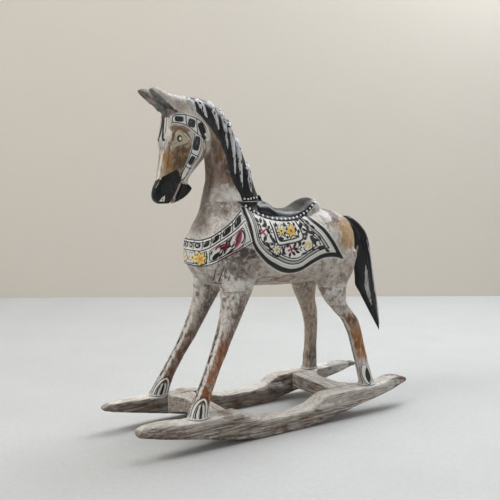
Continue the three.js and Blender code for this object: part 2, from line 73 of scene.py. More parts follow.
HINDLEG = [(17.9, 59.7, 26.0, 5.2, 4.6, 3.9), (24.0, 58.7, 25.0, 4.8, 4.4, 3.5), (36.0, 57.0, 22.8, 4.4, 3.9, 3.0),
           (48.0, 55.4, 20.6, 4.6, 4.0, 2.7), (56.0, 53.6, 19.2, 5.1, 4.5, 2.6), (61.0, 51.7, 18.3, 5.5, 4.9, 2.2),
           (67.0, 47.8, 17.3, 6.0, 5.2, 1.0), (74.0, 44.2, 16.2, 7.4, 5.9, 0.0), (83.0, 42.8, 15.0, 10.2, 7.2, 0.0),
           (92.0, 46.0, 13.8, 13.4, 8.0, 0.0), (102.0, 49.0, 12.4, 14.2, 8.6, 0.0), (110.0, 50.0, 11.6, 12.0, 8.2, 0.0)]
TAIL = [(126.5, 57.5, 68.5, 1.8), (124.0, 58.5, 73.0, 3.2), (120.0, 61.0, 78.5, 3.9), (114.0, 64.5, 83.6, 4.4),
        (106.0, 66.0, 86.6, 4.6), (100.0, 69.8, 87.6, 4.6), (94.0, 72.6, 88.5, 4.5), (84.0, 74.2, 90.8, 4.2), (80.0, 74.4, 91.7, 4.0),
        (72.0, 79.2, 93.3, 3.5), (60.0, 86.9, 95.6, 2.6), (50.0, 93.2, 97.2, 1.5), (43.5, 97.0, 97.5, 0.4)]
SEAT = [(-10.0, 137.0, 130.0, 12.0), (-3.0, 137.3, 127.4, 12.8), (4.0, 133.6, 126.2, 12.9), (12.0, 132.1, 126.2, 12.9),
        (18.0, 132.2, 127.2, 12.8), (23.5, 134.0, 128.8, 12.2), (29.0, 137.5, 130.5, 11.4), (33.0, 138.7, 131.5, 10.6),
        (37.0, 137.5, 132.0, 8.8), (39.8, 134.6, 132.0, 4.4)]
SEAT_RIM = [(-23.0, 135.6), (-17.3, 132.0), (-12.5, 129.2), (-6.6, 126.8), (0.0, 125.3), (7.0, 124.8),
            (13.0, 125.1), (18.7, 126.3), (24.0, 128.4), (29.6, 132.2), (33.0, 135.0)]
BLANKET_LOW = [(-21.2, 115.7), (-20.0, 111.5), (-17.1, 107.2), (-10.5, 101.0), (-1.0, 95.8), (7.5, 93.6),
               (15.8, 94.5), (23.3, 98.6), (31.1, 101.8), (39.0, 102.0), (46.3, 100.2)]
BLANKET_REAR = [(27.4, 125.5), (32.3, 120.4), (36.9, 113.8), (42.3, 105.9), (46.3, 100.2)]
COLLAR_UP = [(-60.0, 115.6), (-50.0, 115.6), (-46.1, 117.0), (-40.0, 120.9), (-31.4, 126.5), (-22.4, 133.2)]
COLLAR_LOW = [(-60.0, 100.2), (-50.0, 100.2), (-46.3, 101.3), (-39.1, 105.2), (-31.1, 109.0), (-20.9, 113.6)]
LOCKS = [(-53.0, 196.0, -51.3, 192.4, -49.0, 188.0), (-47.0, 196.2, -45.3, 191.0, -42.0, 184.6),
         (-38.6, 195.6, -37.0, 189.0, -34.6, 177.6), (-31.6, 191.6, -30.4, 183.6, -29.3, 166.4),
         (-25.4, 185.6, -25.2, 174.6, -24.4, 151.0), (-19.9, 176.2, -20.4, 163.4, -19.8, 144.0),
         (-12.2, 160.9, -13.2, 153.0, -12.4, 141.5)]
SEAM = dict(foreleg=85.9, hindleg=82.9, neck=137.1, foot=17.9)
GAP = 0.3
ROCKER = dict(half=97.5, y=26.5, w=5.5, tip=2.6, slope=0.218, blend=10.0, low=-5.0, flat=30.0, platform=17.9,
              front={-1: [(-97.5, 18.6), (-92.0, 19.4), (-80.0, 19.0)], 1: [(-97.5, 16.8), (-92.0, 17.8), (-80.0, 17.9)]},
              rear={-1: [(75.0, 18.8), (80.0, 20.2), (85.0, 20.4), (91.0, 19.3), (96.5, 17.8)],
                    1: [(75.0, 18.4), (80.0, 18.7), (86.0, 18.2), (91.0, 17.3), (96.5, 15.6)]})


# ------------------------------------------------------------------ small maths
def pchip(rows, col=1):
    rows = sorted(rows)
    x = np.array([r[0] for r in rows], float)
    y = np.array([r[col] for r in rows], float)
    h = np.diff(x)
    d = np.diff(y) / h
    m = np.zeros_like(y)
    m[0], m[-1] = d[0], d[-1]
    for i in range(1, len(x) - 1):
        if d[i - 1] * d[i] > 0:
            w0, w1 = 2 * h[i] + h[i - 1], h[i] + 2 * h[i - 1]
            m[i] = (w0 + w1) / (w0 / d[i - 1] + w1 / d[i])

    def f(t):
        t = np.clip(np.asarray(t, float), x[0], x[-1])
        i = np.clip(np.searchsorted(x, t) - 1, 0, len(x) - 2)
        s = (t - x[i]) / h[i]
        s2, s3 = s * s, s * s * s
        return ((2 * s3 - 3 * s2 + 1) * y[i] + (s3 - 2 * s2 + s) * h[i] * m[i]
                + (-2 * s3 + 3 * s2) * y[i + 1] + (s3 - s2) * h[i] * m[i + 1])
    return f


def pw(v, e):
    return np.sign(v) * np.abs(v) ** e


def smooth(a, b, t):
    s = np.clip((t - a) / (b - a), 0, 1)
    return s * s * (3 - 2 * s)


def smin(a, b, k):
    h = np.clip(k - np.abs(a - b), 0, None) / k
    return np.minimum(a, b) - h * h * k * 0.25


def smax(a, b, k):
    return -smin(-a, -b, k)


def _hash(ix, iy, iz, seed):
    n = (ix * 374761393 + iy * 668265263 + iz * 2147483647 + seed * 1274126177) & 0xFFFFFFFF
    n = ((n ^ (n >> 13)) * 1274126177) & 0xFFFFFFFF
    n = (n ^ (n >> 16)) & 0xFFFFFFFF
    return n.astype(np.float64) / 0xFFFFFFFF


def noise(P, scale, seed=0):
    """Smooth value noise, -1..1; scale is the feature size in mm (one number or three)."""
    Q = P / np.asarray(scale, float)
    I = np.floor(Q).astype(np.int64)
    Fr = Q - I
    Fr = Fr * Fr * (3 - 2 * Fr)
    out = np.zeros(len(P))
    for dx in (0, 1):
        for dy in (0, 1):
            for dz in (0, 1):
                w = ((Fr[:, 0] if dx else 1 - Fr[:, 0]) * (Fr[:, 1] if dy else 1 - Fr[:, 1])
                     * (Fr[:, 2] if dz else 1 - Fr[:, 2]))
                out += w * _hash(I[:, 0] + dx, I[:, 1] + dy, I[:, 2] + dz, seed)
    return out * 2 - 1


def fbm(P, scale, seed=0, n=3):
    s = np.asarray(scale, float)
    out, amp, tot = 0.0, 1.0, 0.0
    for k in range(n):
        out = out + amp * noise(P + 17.3 * k, s / 2 ** k, seed + k)
        tot += amp
        amp *= 0.5
    return out / tot


# ------------------------------------------------------------------ lofts
def ring_x(x, top, bot, half, mid, n_up=2.15, n_low=2.35, seg=96):
    t = np.linspace(0, 2 * np.pi, seg, endpoint=False)
    c, s = np.cos(t), np.sin(t)
    e = np.where(s > 0, 2 / n_up, 2 / n_low)
    return np.stack([np.full(seg, x), half * pw(c, e),
                     mid + np.where(s > 0, top - mid, mid - bot) * pw(s, e)], 1)


def ring_z(z, front, rear, half, mid=0.5, nf=2.0, nr=2.0, face=1.0, y=0.0, seg=96):
    xm = front + (rear - front) * mid
    t = np.linspace(0, 2 * np.pi, seg, endpoint=False)
    c, s = np.cos(t), np.sin(t)
    e = np.where(c > 0, 2 / nr, 2 / nf)
    w = np.where(c < 0, 1 + (face - 1) * np.abs(c) ** e, 1.0)
    return np.stack([xm + np.where(c > 0, rear - xm, xm - front) * pw(c, e),
                     y + half * w * pw(s, e), np.full(seg, z)], 1)


def loft(rings):
    n = len(rings[0])
    V = np.vstack(rings + [rings[0].mean(0)[None], rings[-1].mean(0)[None]])
    k = len(rings)
    i = np.arange(n)
    j = (i + 1) % n
    T = []
    for r in range(k - 1):
        a, b = r * n + i, r * n + j
        T.append(np.stack([a, b, b + n], 1))
        T.append(np.stack([a, b + n, a + n], 1))
    c0, c1 = k * n, k * n + 1
    T.append(np.stack([np.full(n, c0), j, i], 1))
    T.append(np.stack([np.full(n, c1), (k - 1) * n + i, (k - 1) * n + j], 1))
    T = np.vstack(T)
    a, b, c = V[T[:, 0]], V[T[:, 1]], V[T[:, 2]]
    if np.einsum('ij,ij->i', a, np.cross(b, c)).sum() < 0:
        T = T[:, ::-1]
    return V, T


def steps(lo, hi, step):
    return np.linspace(lo, hi, max(2, int(math.ceil((hi - lo) / step)) + 1))


def trunk_loft():
    f = [pchip(TRUNK, c) for c in (1, 2, 3, 4)]
    return loft([ring_x(x, *[g(x) for g in f]) for x in steps(-51.0, 66.6, 1.2)])


def neck_loft():
    f = [pchip(NECK, c) for c in (1, 2, 3)]
    return loft([ring_z(z, *[g(z) for g in f], mid=0.36 + 0.06 * float(smooth(158, 170, z)), nf=2.2, nr=1.65)
                 for z in steps(112.0, 196.4, 1.2)])


def head_loft():
    f = [pchip(HEAD, c) for c in (1, 2, 3)]
    return loft([ring_z(z, *[g(z) for g in f], mid=0.45, nf=3.6, nr=2.6, face=0.84)
                 for z in steps(136.6, 194.5, 0.8)])


def leg_loft(rows, side, lo, hi):
    f = [pchip(rows, c) for c in (1, 2, 3, 4)]
    lead = pchip(rows, 5) if len(rows[0]) > 5 else (lambda z: 0.0)
    R = []
    for z in steps(lo, hi, 1.2):
        x, y, a, b = [g(z) for g in f]
        cx = x - side * lead(z)
        R.append(ring_z(z, cx - a, cx + a, b, y=side * y, nf=2.2, nr=2.2, seg=64))
    return loft(R)


def ball(c, r, seg=32):
    R = []
    for t in np.linspace(-np.pi / 2 + 0.08, np.pi / 2 - 0.08, 17):
        w = math.cos(t)
        R.append(ring_z(c[2] + r[2] * math.sin(t), c[0] - r[0] * w, c[0] + r[0] * w, r[1] * w, y=c[1], seg=seg))
    return loft(R)


def neck_half(x, z):
    z = np.minimum(196.0, z)
    f, r, h = (pchip(NECK, c)(z) for c in (1, 2, 3))
    xm = f + (r - f) * (0.36 + 0.06 * smooth(158, 170, z))
    rear = x > xm
    u = np.clip(np.abs(np.where(rear, (x - xm) / (r - xm), (x - xm) / (f - xm))), 0, 0.999)
    n = np.where(rear, 1.65, 2.2)
    return h * (1 - u ** n) ** (1 / n)


def quad_curve(row, s):
    x0, z0, x1, z1, x2, z2 = row
    q = 1 - s
    x = q * (1 - 2 * s) * x0 + 4 * s * q * x1 + s * (2 * s - 1) * x2
    z = q * (1 - 2 * s) * z0 + 4 * s * q * z1 + s * (2 * s - 1) * z2
    tx = (4 * s - 3) * x0 + 4 * (1 - 2 * s) * x1 + (4 * s - 1) * x2
    tz = (4 * s - 3) * z0 + 4 * (1 - 2 * s) * z1 + (4 * s - 1) * z2
    l = np.hypot(tx, tz)
    return x, z, tx / l, tz / l


def lock_loft(row, side, half=2.35, thick=1.75):
    R = []
    a = np.linspace(0, 2 * np.pi, 20, endpoint=False)
    for s in np.linspace(0, 1, 28):
        x, z, tx, tz = quad_curve(row, s)
        y = max(0.7, float(neck_half(x, z)) - 0.1)
        w = (half - 0.6 * s) * math.sin(math.pi * (0.10 + 0.86 * s)) ** 0.65
        t = thick * math.sin(math.pi * (0.12 + 0.83 * s)) ** 0.6
        c, d = np.cos(a), np.sin(a)
        R.append(np.stack([x - tz * w * c, side * (y + t * pw(d, 0.9)), z + tx * w * c], 1))
    return loft(R)


def ear_loft(side):
    A = np.array([-62.8, side * 4.7, 187.0])
    B = np.array([-78.2, side * 8.3, 198.7 if side < 0 else 199.8])
    d = (B - A) / np.linalg.norm(B - A)
    back = np.array([0.63, 0, 0.75])
    back -= back.dot(d) * d
    back /= np.linalg.norm(back)
    across = np.cross(d, back)
    across /= np.linalg.norm(across)
    R = []
    M = 24
    for k in range(25):
        s = 1 - k / 24
        c = B + (A - B) * s
        w = 2.1 + (5.4 - 2.1) * s ** 0.6
        h = 2.7 + (12.5 - 2.7) * (0.68 * s ** 0.9 + 0.32 * s ** 4)
        tipround = math.sqrt(max(0.0, 1 - (1 - min(1.0, s / 0.14)) ** 2)) if s < 0.14 else 1.0
        w *= max(0.25, tipround)
        h *= max(0.25, tipround)
        t = np.pi * np.arange(2 * M) / M
        up = np.arange(2 * M) <= M
        hollow = -0.20 * h * np.sin(t) * min(1, 3 * s) - 0.2
        v = np.where(up, h * np.sin(t), hollow)
        R.append(c[None] + across[None] * (w * np.cos(t))[:, None] + back[None] * v[:, None])
    return loft(R)


def tail_loft():
    f = [pchip(TAIL, c) for c in (1, 2, 3)]
    return loft([ring_z(z, *[g(z) for g in f], nf=1.7, nr=1.9) for z in steps(43.5, 126.5, 1.0)])


def seat_loft():
    f = [pchip(SEAT, c) for c in (1, 2, 3)]
    return loft([ring_x(x, f[0](x), f[1](x) - 7, f[2](x), f[1](x), 2.3, 2.0) for x in steps(-10.0, 39.8, 0.8)])


def rocker_bottom(x):
    R = ROCKER
    d = np.abs(x - R['low']) - R['flat'] / 2
    lift = np.where(d <= 0, 0.0, R['slope'] * (np.hypot(np.maximum(d, 0), R['blend']) - R['blend']))
    return lift - 1.2 * smooth(40, 86, x)


def rocker_top(side):
    P = ROCKER['platform']
    return pchip(ROCKER['front'][side] + [(-68, P), (-52, P), (-37, P), (-31, 15.6), (-25.5, 13.0), (-17, 11.1),
                                          (-5, 10.5), (7, 10.9), (14, 12.0), (20, 14.5), (25, 16.9), (30, P), (56, P),
                                          (70, P)] + ROCKER['rear'][side])


def rocker_half(x):
    e = np.maximum(0, (np.abs(x) - 67.5) / 30)
    return ROCKER['w'] - (ROCKER['w'] - ROCKER['tip']) * np.minimum(e, 1.05) ** 1.8


# ------------------------------------------------------------------ voxel bodies
class Grid:
    def __init__(self, lo, hi, vox):
        self.vox = vox * FINE
        self.lo = np.array(lo, float)
        self.n = np.ceil((np.array(hi, float) - self.lo) / self.vox).astype(int) + 1
        self.band = 9.0

    def axes(self):
        return [self.lo[k] + self.vox * np.arange(self.n[k]) for k in range(3)]

    def coords(self):
        x, y, z = self.axes()
        return x[:, None, None], y[None, :, None], z[None, None, :]

    def sdf(self, mesh):
        V, T = mesh
        P = ((V - self.lo) / self.vox).astype(np.float32)
        g = vdb.FloatGrid.createLevelSetFromPolygons(P, triangles=np.ascontiguousarray(T, np.uint32), halfWidth=self.band)
        a = np.zeros(tuple(self.n), np.float32)
        g.copyToArray(a, ijk=(0, 0, 0))
        return a * self.vox

    def mesh(self, a):
        b = float(self.band * self.vox)
        a = np.clip(a, -b, b).astype(np.float32)
        for k in range(3):                       # closed at the walls of the grid
            sl = [slice(None)] * 3
            for e in (0, -1):
                sl[k] = e
                a[tuple(sl)] = b
        g = vdb.FloatGrid(b)
        g.copyFromArray(a, ijk=(0, 0, 0), tolerance=0.0)
        P, Q = g.convertToQuads(0.0)
        P, Q = P.astype(float) * self.vox + self.lo, Q.astype(np.int64)
        c = P.mean(0)
        vol = np.einsum('ij,ij->i', P[Q[:, 0]] - c, np.cross(P[Q[:, 1]] - c, P[Q[:, 2]] - c)).sum()
        return P, (Q if vol > 0 else Q[:, ::-1])


def largest_part(V, Q):
    """Drops any stray island."""
    n = len(V)
    lab = np.arange(n)
    E = np.vstack([Q[:, [0, 1]], Q[:, [1, 2]], Q[:, [2, 3]], Q[:, [3, 0]]])
    for _ in range(400):
        m = np.minimum(lab[E[:, 0]], lab[E[:, 1]])
        new = lab.copy()
        np.minimum.at(new, E[:, 0], m)
        np.minimum.at(new, E[:, 1], m)
        new = new[new]
        if (new == lab).all():
            break
        lab = new
    u, c = np.unique(lab, return_counts=True)
    if len(u) == 1:
        return V, Q
    keep = lab == u[np.argmax(c)]
    idx = np.cumsum(keep) - 1
    return V[keep], idx[Q[keep[Q[:, 0]]]]


def vnormals(V, Q):
    a, b, c, d = (V[Q[:, k]] for k in range(4))
    N = np.cross(c - a, d - b)
    out = np.zeros_like(V)
    for k in range(4):
        for j in range(3):
            out[:, j] += np.bincount(Q[:, k], N[:, j], len(V))
    return out / (np.linalg.norm(out, axis=1, keepdims=True) + 1e-12)


def edges_of(Q):
    E = np.vstack([Q[:, [0, 1]], Q[:, [1, 2]], Q[:, [2, 3]], Q[:, [3, 0]]])
    return E


def spread(Q, n, val, it):
    """Averages a value over neighbouring vertices."""
    E = edges_of(Q)
    deg = np.bincount(E[:, 0], minlength=n) + np.bincount(E[:, 1], minlength=n)
    val = np.array(val, float)
    one = val.ndim == 1
    if one:
        val = val[:, None]
    for _ in range(it):
        s = np.zeros_like(val)
        for j in range(val.shape[1]):
            s[:, j] = np.bincount(E[:, 0], val[E[:, 1], j], n) + np.bincount(E[:, 1], val[E[:, 0], j], n)
        val = 0.5 * val + 0.5 * s / deg[:, None]
    return val[:, 0] if one else val


def curvature(V, Q, it=6):
    """Positive on ridges, negative in grooves (mm)."""
    n = len(V)
    N = vnormals(V, Q)
    S = spread(Q, n, V, it)
    return np.einsum('ij,ij->i', V - S, N)


# ------------------------------------------------------------------ outlines in the side view (x, z)
def crom(pts, step=0.8):
    """Smooth curve through points, evenly stepped."""
    P = np.array(pts, float)
    P = np.vstack([2 * P[0] - P[1], P, 2 * P[-1] - P[-2]])
    out = []
    for i in range(1, len(P) - 2):
        a, b, c, d = P[i - 1], P[i], P[i + 1], P[i + 2]
        n = max(2, int(np.linalg.norm(c - b) / step) + 1)
        for t in np.linspace(0, 1, n, endpoint=False):
            out.append(0.5 * ((2 * b) + (c - a) * t + (2 * a - 5 * b + 4 * c - d) * t * t
                              + (3 * b - a - 3 * c + d) * t ** 3))
    out.append(P[-2])
    return np.array(out)


def seg_dist(px, pz, line):
    d = np.full(np.broadcast(px, pz).shape, 1e9)
    for a, b in zip(line[:-1], line[1:]):
        ab = b - a
        t = np.clip(((px - a[0]) * ab[0] + (pz - a[1]) * ab[1]) / (ab.dot(ab) + 1e-12), 0, 1)
        d = np.minimum(d, np.hypot(px - a[0] - t * ab[0], pz - a[1] - t * ab[1]))
    return d


def inside(px, pz, poly):
    c = np.zeros(np.broadcast(px, pz).shape, bool)
    for a, b in zip(poly, np.roll(poly, -1, 0)):
        if a[1] == b[1]:
            continue
        c ^= ((a[1] > pz) != (b[1] > pz)) & (px < (b[0] - a[0]) * (pz - a[1]) / (b[1] - a[1]) + a[0])
    return c


BLANKET_EDGE = np.vstack([crom([(-22.6, 134.0), (-21.3, 126.0)] + BLANKET_LOW), crom(BLANKET_REAR[::-1] + [(24.0, 130.0), (22.0, 134.0)])])
BLANKET_POLY = BLANKET_EDGE
RIM_F = pchip(SEAT_RIM)
CU, CL = pchip(COLLAR_UP), pchip(COLLAR_LOW)
COLLAR_MID = [(-60.0, 109.4), (-50.0, 109.4), (-47.9, 110.4), (-41.3, 115.1), (-32.8, 120.1), (-23.2, 126.2)]
CM = pchip(COLLAR_MID)


def d_blanket(x, z):
    d = seg_dist(x, z, BLANKET_EDGE)
    return np.where(inside(x, z, BLANKET_POLY), d, -d)


def d_saddle(x, z):
    """Black saddle: above the dotted rim, from the withers to the back of the cantle."""
    rim = np.vstack([crom(SEAT_RIM), [[34.2, 141.0], [-26.0, 141.0], [-26.0, 137.6]]])
    d = seg_dist(x, z, crom(SEAT_RIM))
    d = np.minimum(d, seg_dist(x, z, np.array([[33.0, 135.0], [34.4, 142.0]])))
    return np.where(inside(x, z, rim), d, -d)


def collar_edges(x, z):
    """Heights (mm, along the surface) below the upper edge, above the lower edge and above the dividing line."""
    def slope(f):
        return np.sqrt(1 + ((f(x + 0.5) - f(x - 0.5))) ** 2)
    up = (CU(x) - z) / slope(CU)
    lo = (z - CL(x)) / slope(CL)
    mid = (z - CM(x)) / slope(CM)
    return up, lo, mid


def d_collar(x, z):
    up, lo, _ = collar_edges(x, z)
    rear = seg_dist(x, z, np.array([[-23.6, 134.5], [-20.2, 112.0]]))
    side = (x - (-23.6)) - (134.5 - z) * (3.4 / 22.5)
    return np.minimum(np.minimum(up, lo), np.where(side < 0, rear, -rear))


# ------------------------------------------------------------------ carved solids
def trunk_blend(G):
    T, N = G.sdf(trunk_loft()), G.sdf(neck_loft())
    return smin(T, N, 5.0), T


def build_trunk():
    G = Grid((-54.0, -26.5, 80.5), (73.0, 26.5, 141.5), 0.56)
    x, y, z = G.coords()
    B, _ = trunk_blend(G)
    for side in (-1, 1):
        for rows, top, seam in ((FORELEG, 106.0, SEAM['foreleg']), (HINDLEG, 104.0, SEAM['hindleg'])):
            L = G.sdf(leg_loft(rows, side, 66.0, top))
            B = np.where(z > seam - 0.25, smin(B, L, 3.0), B)
    x2, z2 = x[:, 0, :], z[0, :, :]
    lift = np.maximum(0.8 * smooth(-0.35, 0.35, d_blanket(x2, z2)), 0.8 * smooth(-0.35, 0.35, d_collar(x2, z2)))
    lift = np.maximum(lift, 1.2 * smooth(-0.4, 0.4, d_saddle(x2, z2)) * smooth(-30, -22, x2))
    B = B - lift[:, None, :]
    B = smin(B, G.sdf(seat_loft()), 0.9)
    B = np.where(x < -3.2, np.maximum(B, z - (SEAM['neck'] + 0.25)), B)
    return largest_part(*G.mesh(B))


def build_head():
    G = Grid((-81.0, -13.5, 134.5), (0.5, 13.5, 203.0), 0.41)
    x, y, z = G.coords()
    N, _ = trunk_blend(G)
    B = np.maximum(N, (SEAM['neck'] - 0.1) - z)
    H = G.sdf(head_loft())
    for s in (-1, 1):
        H = smin(H, G.sdf(ball((-63.2, 6.6 * s, 173.6), (4.0, 2.6, 4.2))), 2.4)
        H = smin(H, G.sdf(ear_loft(s)), 1.6)
        # rounded cheek plate with a soft groove in front of the neck
        H = smin(H, G.sdf(ball((-49.5, 4.9 * s, 168.5), (7.2, 4.6, 9.0))), 2.0)
    B = smin(B, H, 2.6)
    for s in (-1, 1):
        for r in LOCKS:
            B = smin(B, G.sdf(lock_loft(r, s)), 0.45)
    a, b = np.array([-64.6, 134.5]), np.array([-58.4, 147.6])
    ab = b - a
    t = np.clip(((x - a[0]) * ab[0] + (z - a[1]) * ab[1]) / ab.dot(ab), 0, 1)
    d = np.hypot(x - a[0] - t * ab[0], z - a[1] - t * ab[1]) - 1.0
    cut = np.maximum(d, np.minimum(z - 139.2, 3.5 - np.abs(y)))
    B = smax(B, -cut, 0.5)
    for s in (-1, 1):
        n = np.sqrt((x + 69.6) ** 2 + (y - 4.6 * s) ** 2 + (1.0 * (z - 139.4)) ** 2) - 1.35
        B = smax(B, -n, 0.6)
    return largest_part(*G.mesh(B))


def build_leg(rows, side, seam, lo, hi, ystep=0.37):
    G = Grid(lo, hi, ystep)
    x, y, z = G.coords()
    L = G.sdf(leg_loft(rows, side, 15.0, 106.0 if rows is FORELEG else 104.0))
    T = G.sdf(trunk_loft())
    B = smin(L, T, 3.0)
    # a low collar of glue and paint where the hoof stands on the rocker
    foot = pchip(rows, 1)(18.5)
    fy = side * pchip(rows, 2)(18.5)
    if len(rows[0]) > 5:
        foot = foot - side * pchip(rows, 5)(18.5)
    r = np.hypot((x - foot) / 1.2, y - fy)
    pool = np.hypot(np.maximum(r - 4.4, 0), (z - 18.0) * 1.0) - 1.1
    B = smin(B, pool, 1.2)
    B = np.maximum(B, z - (seam + 0.1))
    B = smax(B, (SEAM['foot'] + GAP) - z, 0.2)
    B = np.where(z > seam - 1.5, B, np.maximum(B, GAP - T))
    return largest_part(*G.mesh(B))


def build_tail():
    G = Grid((64.0, -7.0, 42.0), (99.5, 7.0, 128.5), 0.39)
    x, y, z = G.coords()
    B = G.sdf(tail_loft())
    # three long knife facets on each side
    f = [pchip(TAIL, c) for c in (1, 2, 3)]
    zz = np.clip(z, 43.5, 126.5)
    fr, re, ht = (g(zz) for g in f)
    u = np.clip((x - fr) / np.maximum(re - fr, 0.5), 0, 1)
    ridge = 0.38 * np.abs(np.sin(u * math.pi * 3.0)) * smooth(44, 60, z) * (1 - smooth(108, 120, z))
    B = B + 0.45 - ridge * 1.15
    T = G.sdf(trunk_loft())
    B = np.maximum(B, GAP - T)
    return largest_part(*G.mesh(B))


def build_rocker(side):
    y0, y1 = (20.0, 33.0) if side > 0 else (-33.0, -20.0)
    G = Grid((-99.5, y0, -1.5), (98.5, y1, 21.5), 0.50)
    x, y, z = G.coords()
    xx = x[:, 0, 0]
    zt, zb, hw = rocker_top(side)(xx), rocker_bottom(xx), rocker_half(xx)
    tip = np.maximum(0, np.abs(xx) - 92.5) / 5
    zt = zt - 0.7 * tip
    zb = zb - 0.8 * smooth(60, 90, -xx)
    thin = np.maximum(0, 2.8 - (zt - zb))
    zt, zb = zt + 0.6 * thin, zb - 0.4 * thin
    e = np.minimum(1.05, np.maximum(0, (np.abs(xx) - 67.5) / 30))
    cy = side * (26.5 - 0.3 * e)
    st, sb = np.gradient(zt, xx), np.gradient(zb, xx)
    zt, zb, hw, cy, st, sb = (v[:, None, None] for v in (zt, zb, hw, cy, st, sb))
    top = (z - zt) / np.sqrt(1 + st * st)
    low = (zb - z) / np.sqrt(1 + sb * sb)
    wid = np.abs(y - cy) - hw
    B = smax(smax(top, wid, 1.5), low, 1.2)
    B = smax(B, np.broadcast_to(np.maximum(-97.5 - x, x - 96.5), B.shape), 2.2)
    return largest_part(*G.mesh(B))


def build_crossbar(front):
    G = Grid((-60.0, -22.0, 4.0), (-36.5, 22.0, 20.0), 0.48) if front else Grid((34.5, -22.0, 4.0), (62.0, 22.0, 20.0), 0.48)
    x, y, z = G.coords()
    s = np.abs(y) / 20.7
    if front:
        outer = -49.5 + (-57.5 + 49.5) * s ** 3
        wid = np.maximum(outer - x, x + 39.0)
    else:
        outer = 50.0 + (59.5 - 50.0) * s ** 3
        wid = np.maximum(x - outer, 37.2 - x)
    low = (8.6 - 2.6 * s ** 4) - z
    B = smax(smax(wid * np.ones_like(z), (z - 17.9) * np.ones_like(x * y), 1.3), low * np.ones_like(x), 1.3)
    B = np.maximum(B, np.abs(y) - 20.7)
    return largest_part(*G.mesh(B))


# ------------------------------------------------------------------ mesh objects
def new_mesh(name, V, F, attrs=None, smooth_shade=True):
    me = bpy.data.meshes.new(name)
    F = np.asarray(F)
    k = F.shape[1]
    me.vertices.add(len(V))
    me.vertices.foreach_set("co", (np.asarray(V) * MM).astype(np.float32).ravel())
    me.loops.add(F.size)
    me.loops.foreach_set("vertex_index", F.astype(np.int32).ravel())
    me.polygons.add(len(F))
    me.polygons.foreach_set("loop_start", (np.arange(len(F)) * k).astype(np.int32))
    me.update(calc_edges=True)
    me.validate()
    me.polygons.foreach_set("use_smooth", np.full(len(me.polygons), smooth_shade))
    for key, val in (attrs or {}).items():
        val = np.asarray(val, np.float32)
        if val.ndim == 2:
            a = me.color_attributes.new(key, 'FLOAT_COLOR', 'POINT')
            rgba = np.ones((len(val), 4), np.float32)
            rgba[:, :3] = val
            a.data.foreach_set("color", rgba.ravel())
        else:
            a = me.attributes.new(key, 'FLOAT', 'POINT')
            a.data.foreach_set("value", val)
    ob = bpy.data.objects.new(name, me)
    bpy.context.scene.collection.objects.link(ob)
    return ob


# ------------------------------------------------------------------ colour
def lin(r, g, b):
    c = np.array([r, g, b], float) / 255.0
    return np.where(c <= 0.04045, c / 12.92, ((c + 0.055) / 1.055) ** 2.4)


CHALK, WASH, WASH2 = lin(226, 223, 216), lin(214, 209, 201), lin(184, 176, 167)
SMUDGE, PINK, BROWN = lin(92, 79, 71), lin(148, 120, 110), lin(112, 78, 50)
OCHRE, ORANGE, BEIGE = lin(152, 108, 58), lin(164, 98, 46), lin(196, 182, 152)
BLACK, WHITE, LAVENDER = lin(13, 14, 15), lin(226, 225, 220), lin(205, 206, 214)
RED, YELLOW = lin(158, 34, 62), lin(226, 190, 70)


class Paint:
    """Paint laid on a mesh in soft strokes; everything in mm."""
    def __init__(self, V, Q, base, seed=0):
        self.V, self.Q, self.seed = V, Q, seed
        self.N = vnormals(V, Q)
        n = len(V)
        self.col = np.tile(base, (n, 1))
        self.wear = np.full(n, -0.22)
        # per-vertex darkening: painted shade in hollows, creases and on faces turned downward, together with dirt
        # streaks
        self.dirt = np.zeros(n)
        self.gloss = np.zeros(n)
        self.k = np.full(n, -9.0)
        self.w = np.full(n, -9.0)

    def lay(self, mask, colour):
        m = np.clip(mask, 0, 1)[:, None]
        self.col = self.col * (1 - m) + np.asarray(colour) * m

    def dab(self, c, r, colour=None, amount=1.0, rough=0.35, side=0, wear=0.0, dirt=0.0, gloss=0.0, seed=None, grain=None):
        """An irregular patch: c, r in (x, y, z) mm; y None means any; side -1 left, 1 right, 0 both."""
        P = self.V
        q = np.zeros(len(P))
        for k in range(3):
            if c[k] is None:
                continue
            p = np.abs(P[:, 1]) if (k == 1 and side == 0) else P[:, k]
            q += ((p - c[k]) / r[k]) ** 2
        s = self.seed + int(abs(c[0] or 0) * 7 + abs(c[2] or 0) * 3) if seed is None else seed
        g = grain or (3.0, 3.0, 3.0)
        m = 1.0 - np.sqrt(q) + rough * fbm(P, g, s, 3) * 1.6
        m = smooth(-0.12, 0.30, m) * amount
        if side:
            m = m * (np.sign(P[:, 1]) == side)
        if colour is not None:
            self.lay(m, colour)
        self.wear = self.wear + wear * m
        self.dirt = self.dirt + dirt * m
        self.gloss = np.maximum(self.gloss, gloss * m)
        return m

    def finish(self, name, nodes, material, extra=None):
        at = dict(wash=self.col, wear=self.wear, dirt=np.clip(self.dirt, 0, 1), gloss=np.clip(self.gloss, 0, 1),
                  black=self.k, white=self.w)
        at.update(extra or {})
        ob = new_mesh(name, self.V, self.Q, at)
        ob.data.materials.append(material)
        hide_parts(*nodes)
        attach(ob, "root")
        return ob


def carve(V, Q, fn):
    """Moves every vertex along its normal by fn(V, N) mm."""
    N = vnormals(V, Q)
    return V + N * fn(V, N)[:, None]


def knife(V, size, depth, seed, stretch=(1, 1, 1)):
    """Shallow planed facets left by a knife."""
    s = np.array(stretch, float) * size
    a = np.abs(noise(V, s, seed)) + 0.5 * np.abs(noise(V + 31.7, s * 0.6, seed + 5))
    return depth * (a - 0.45)


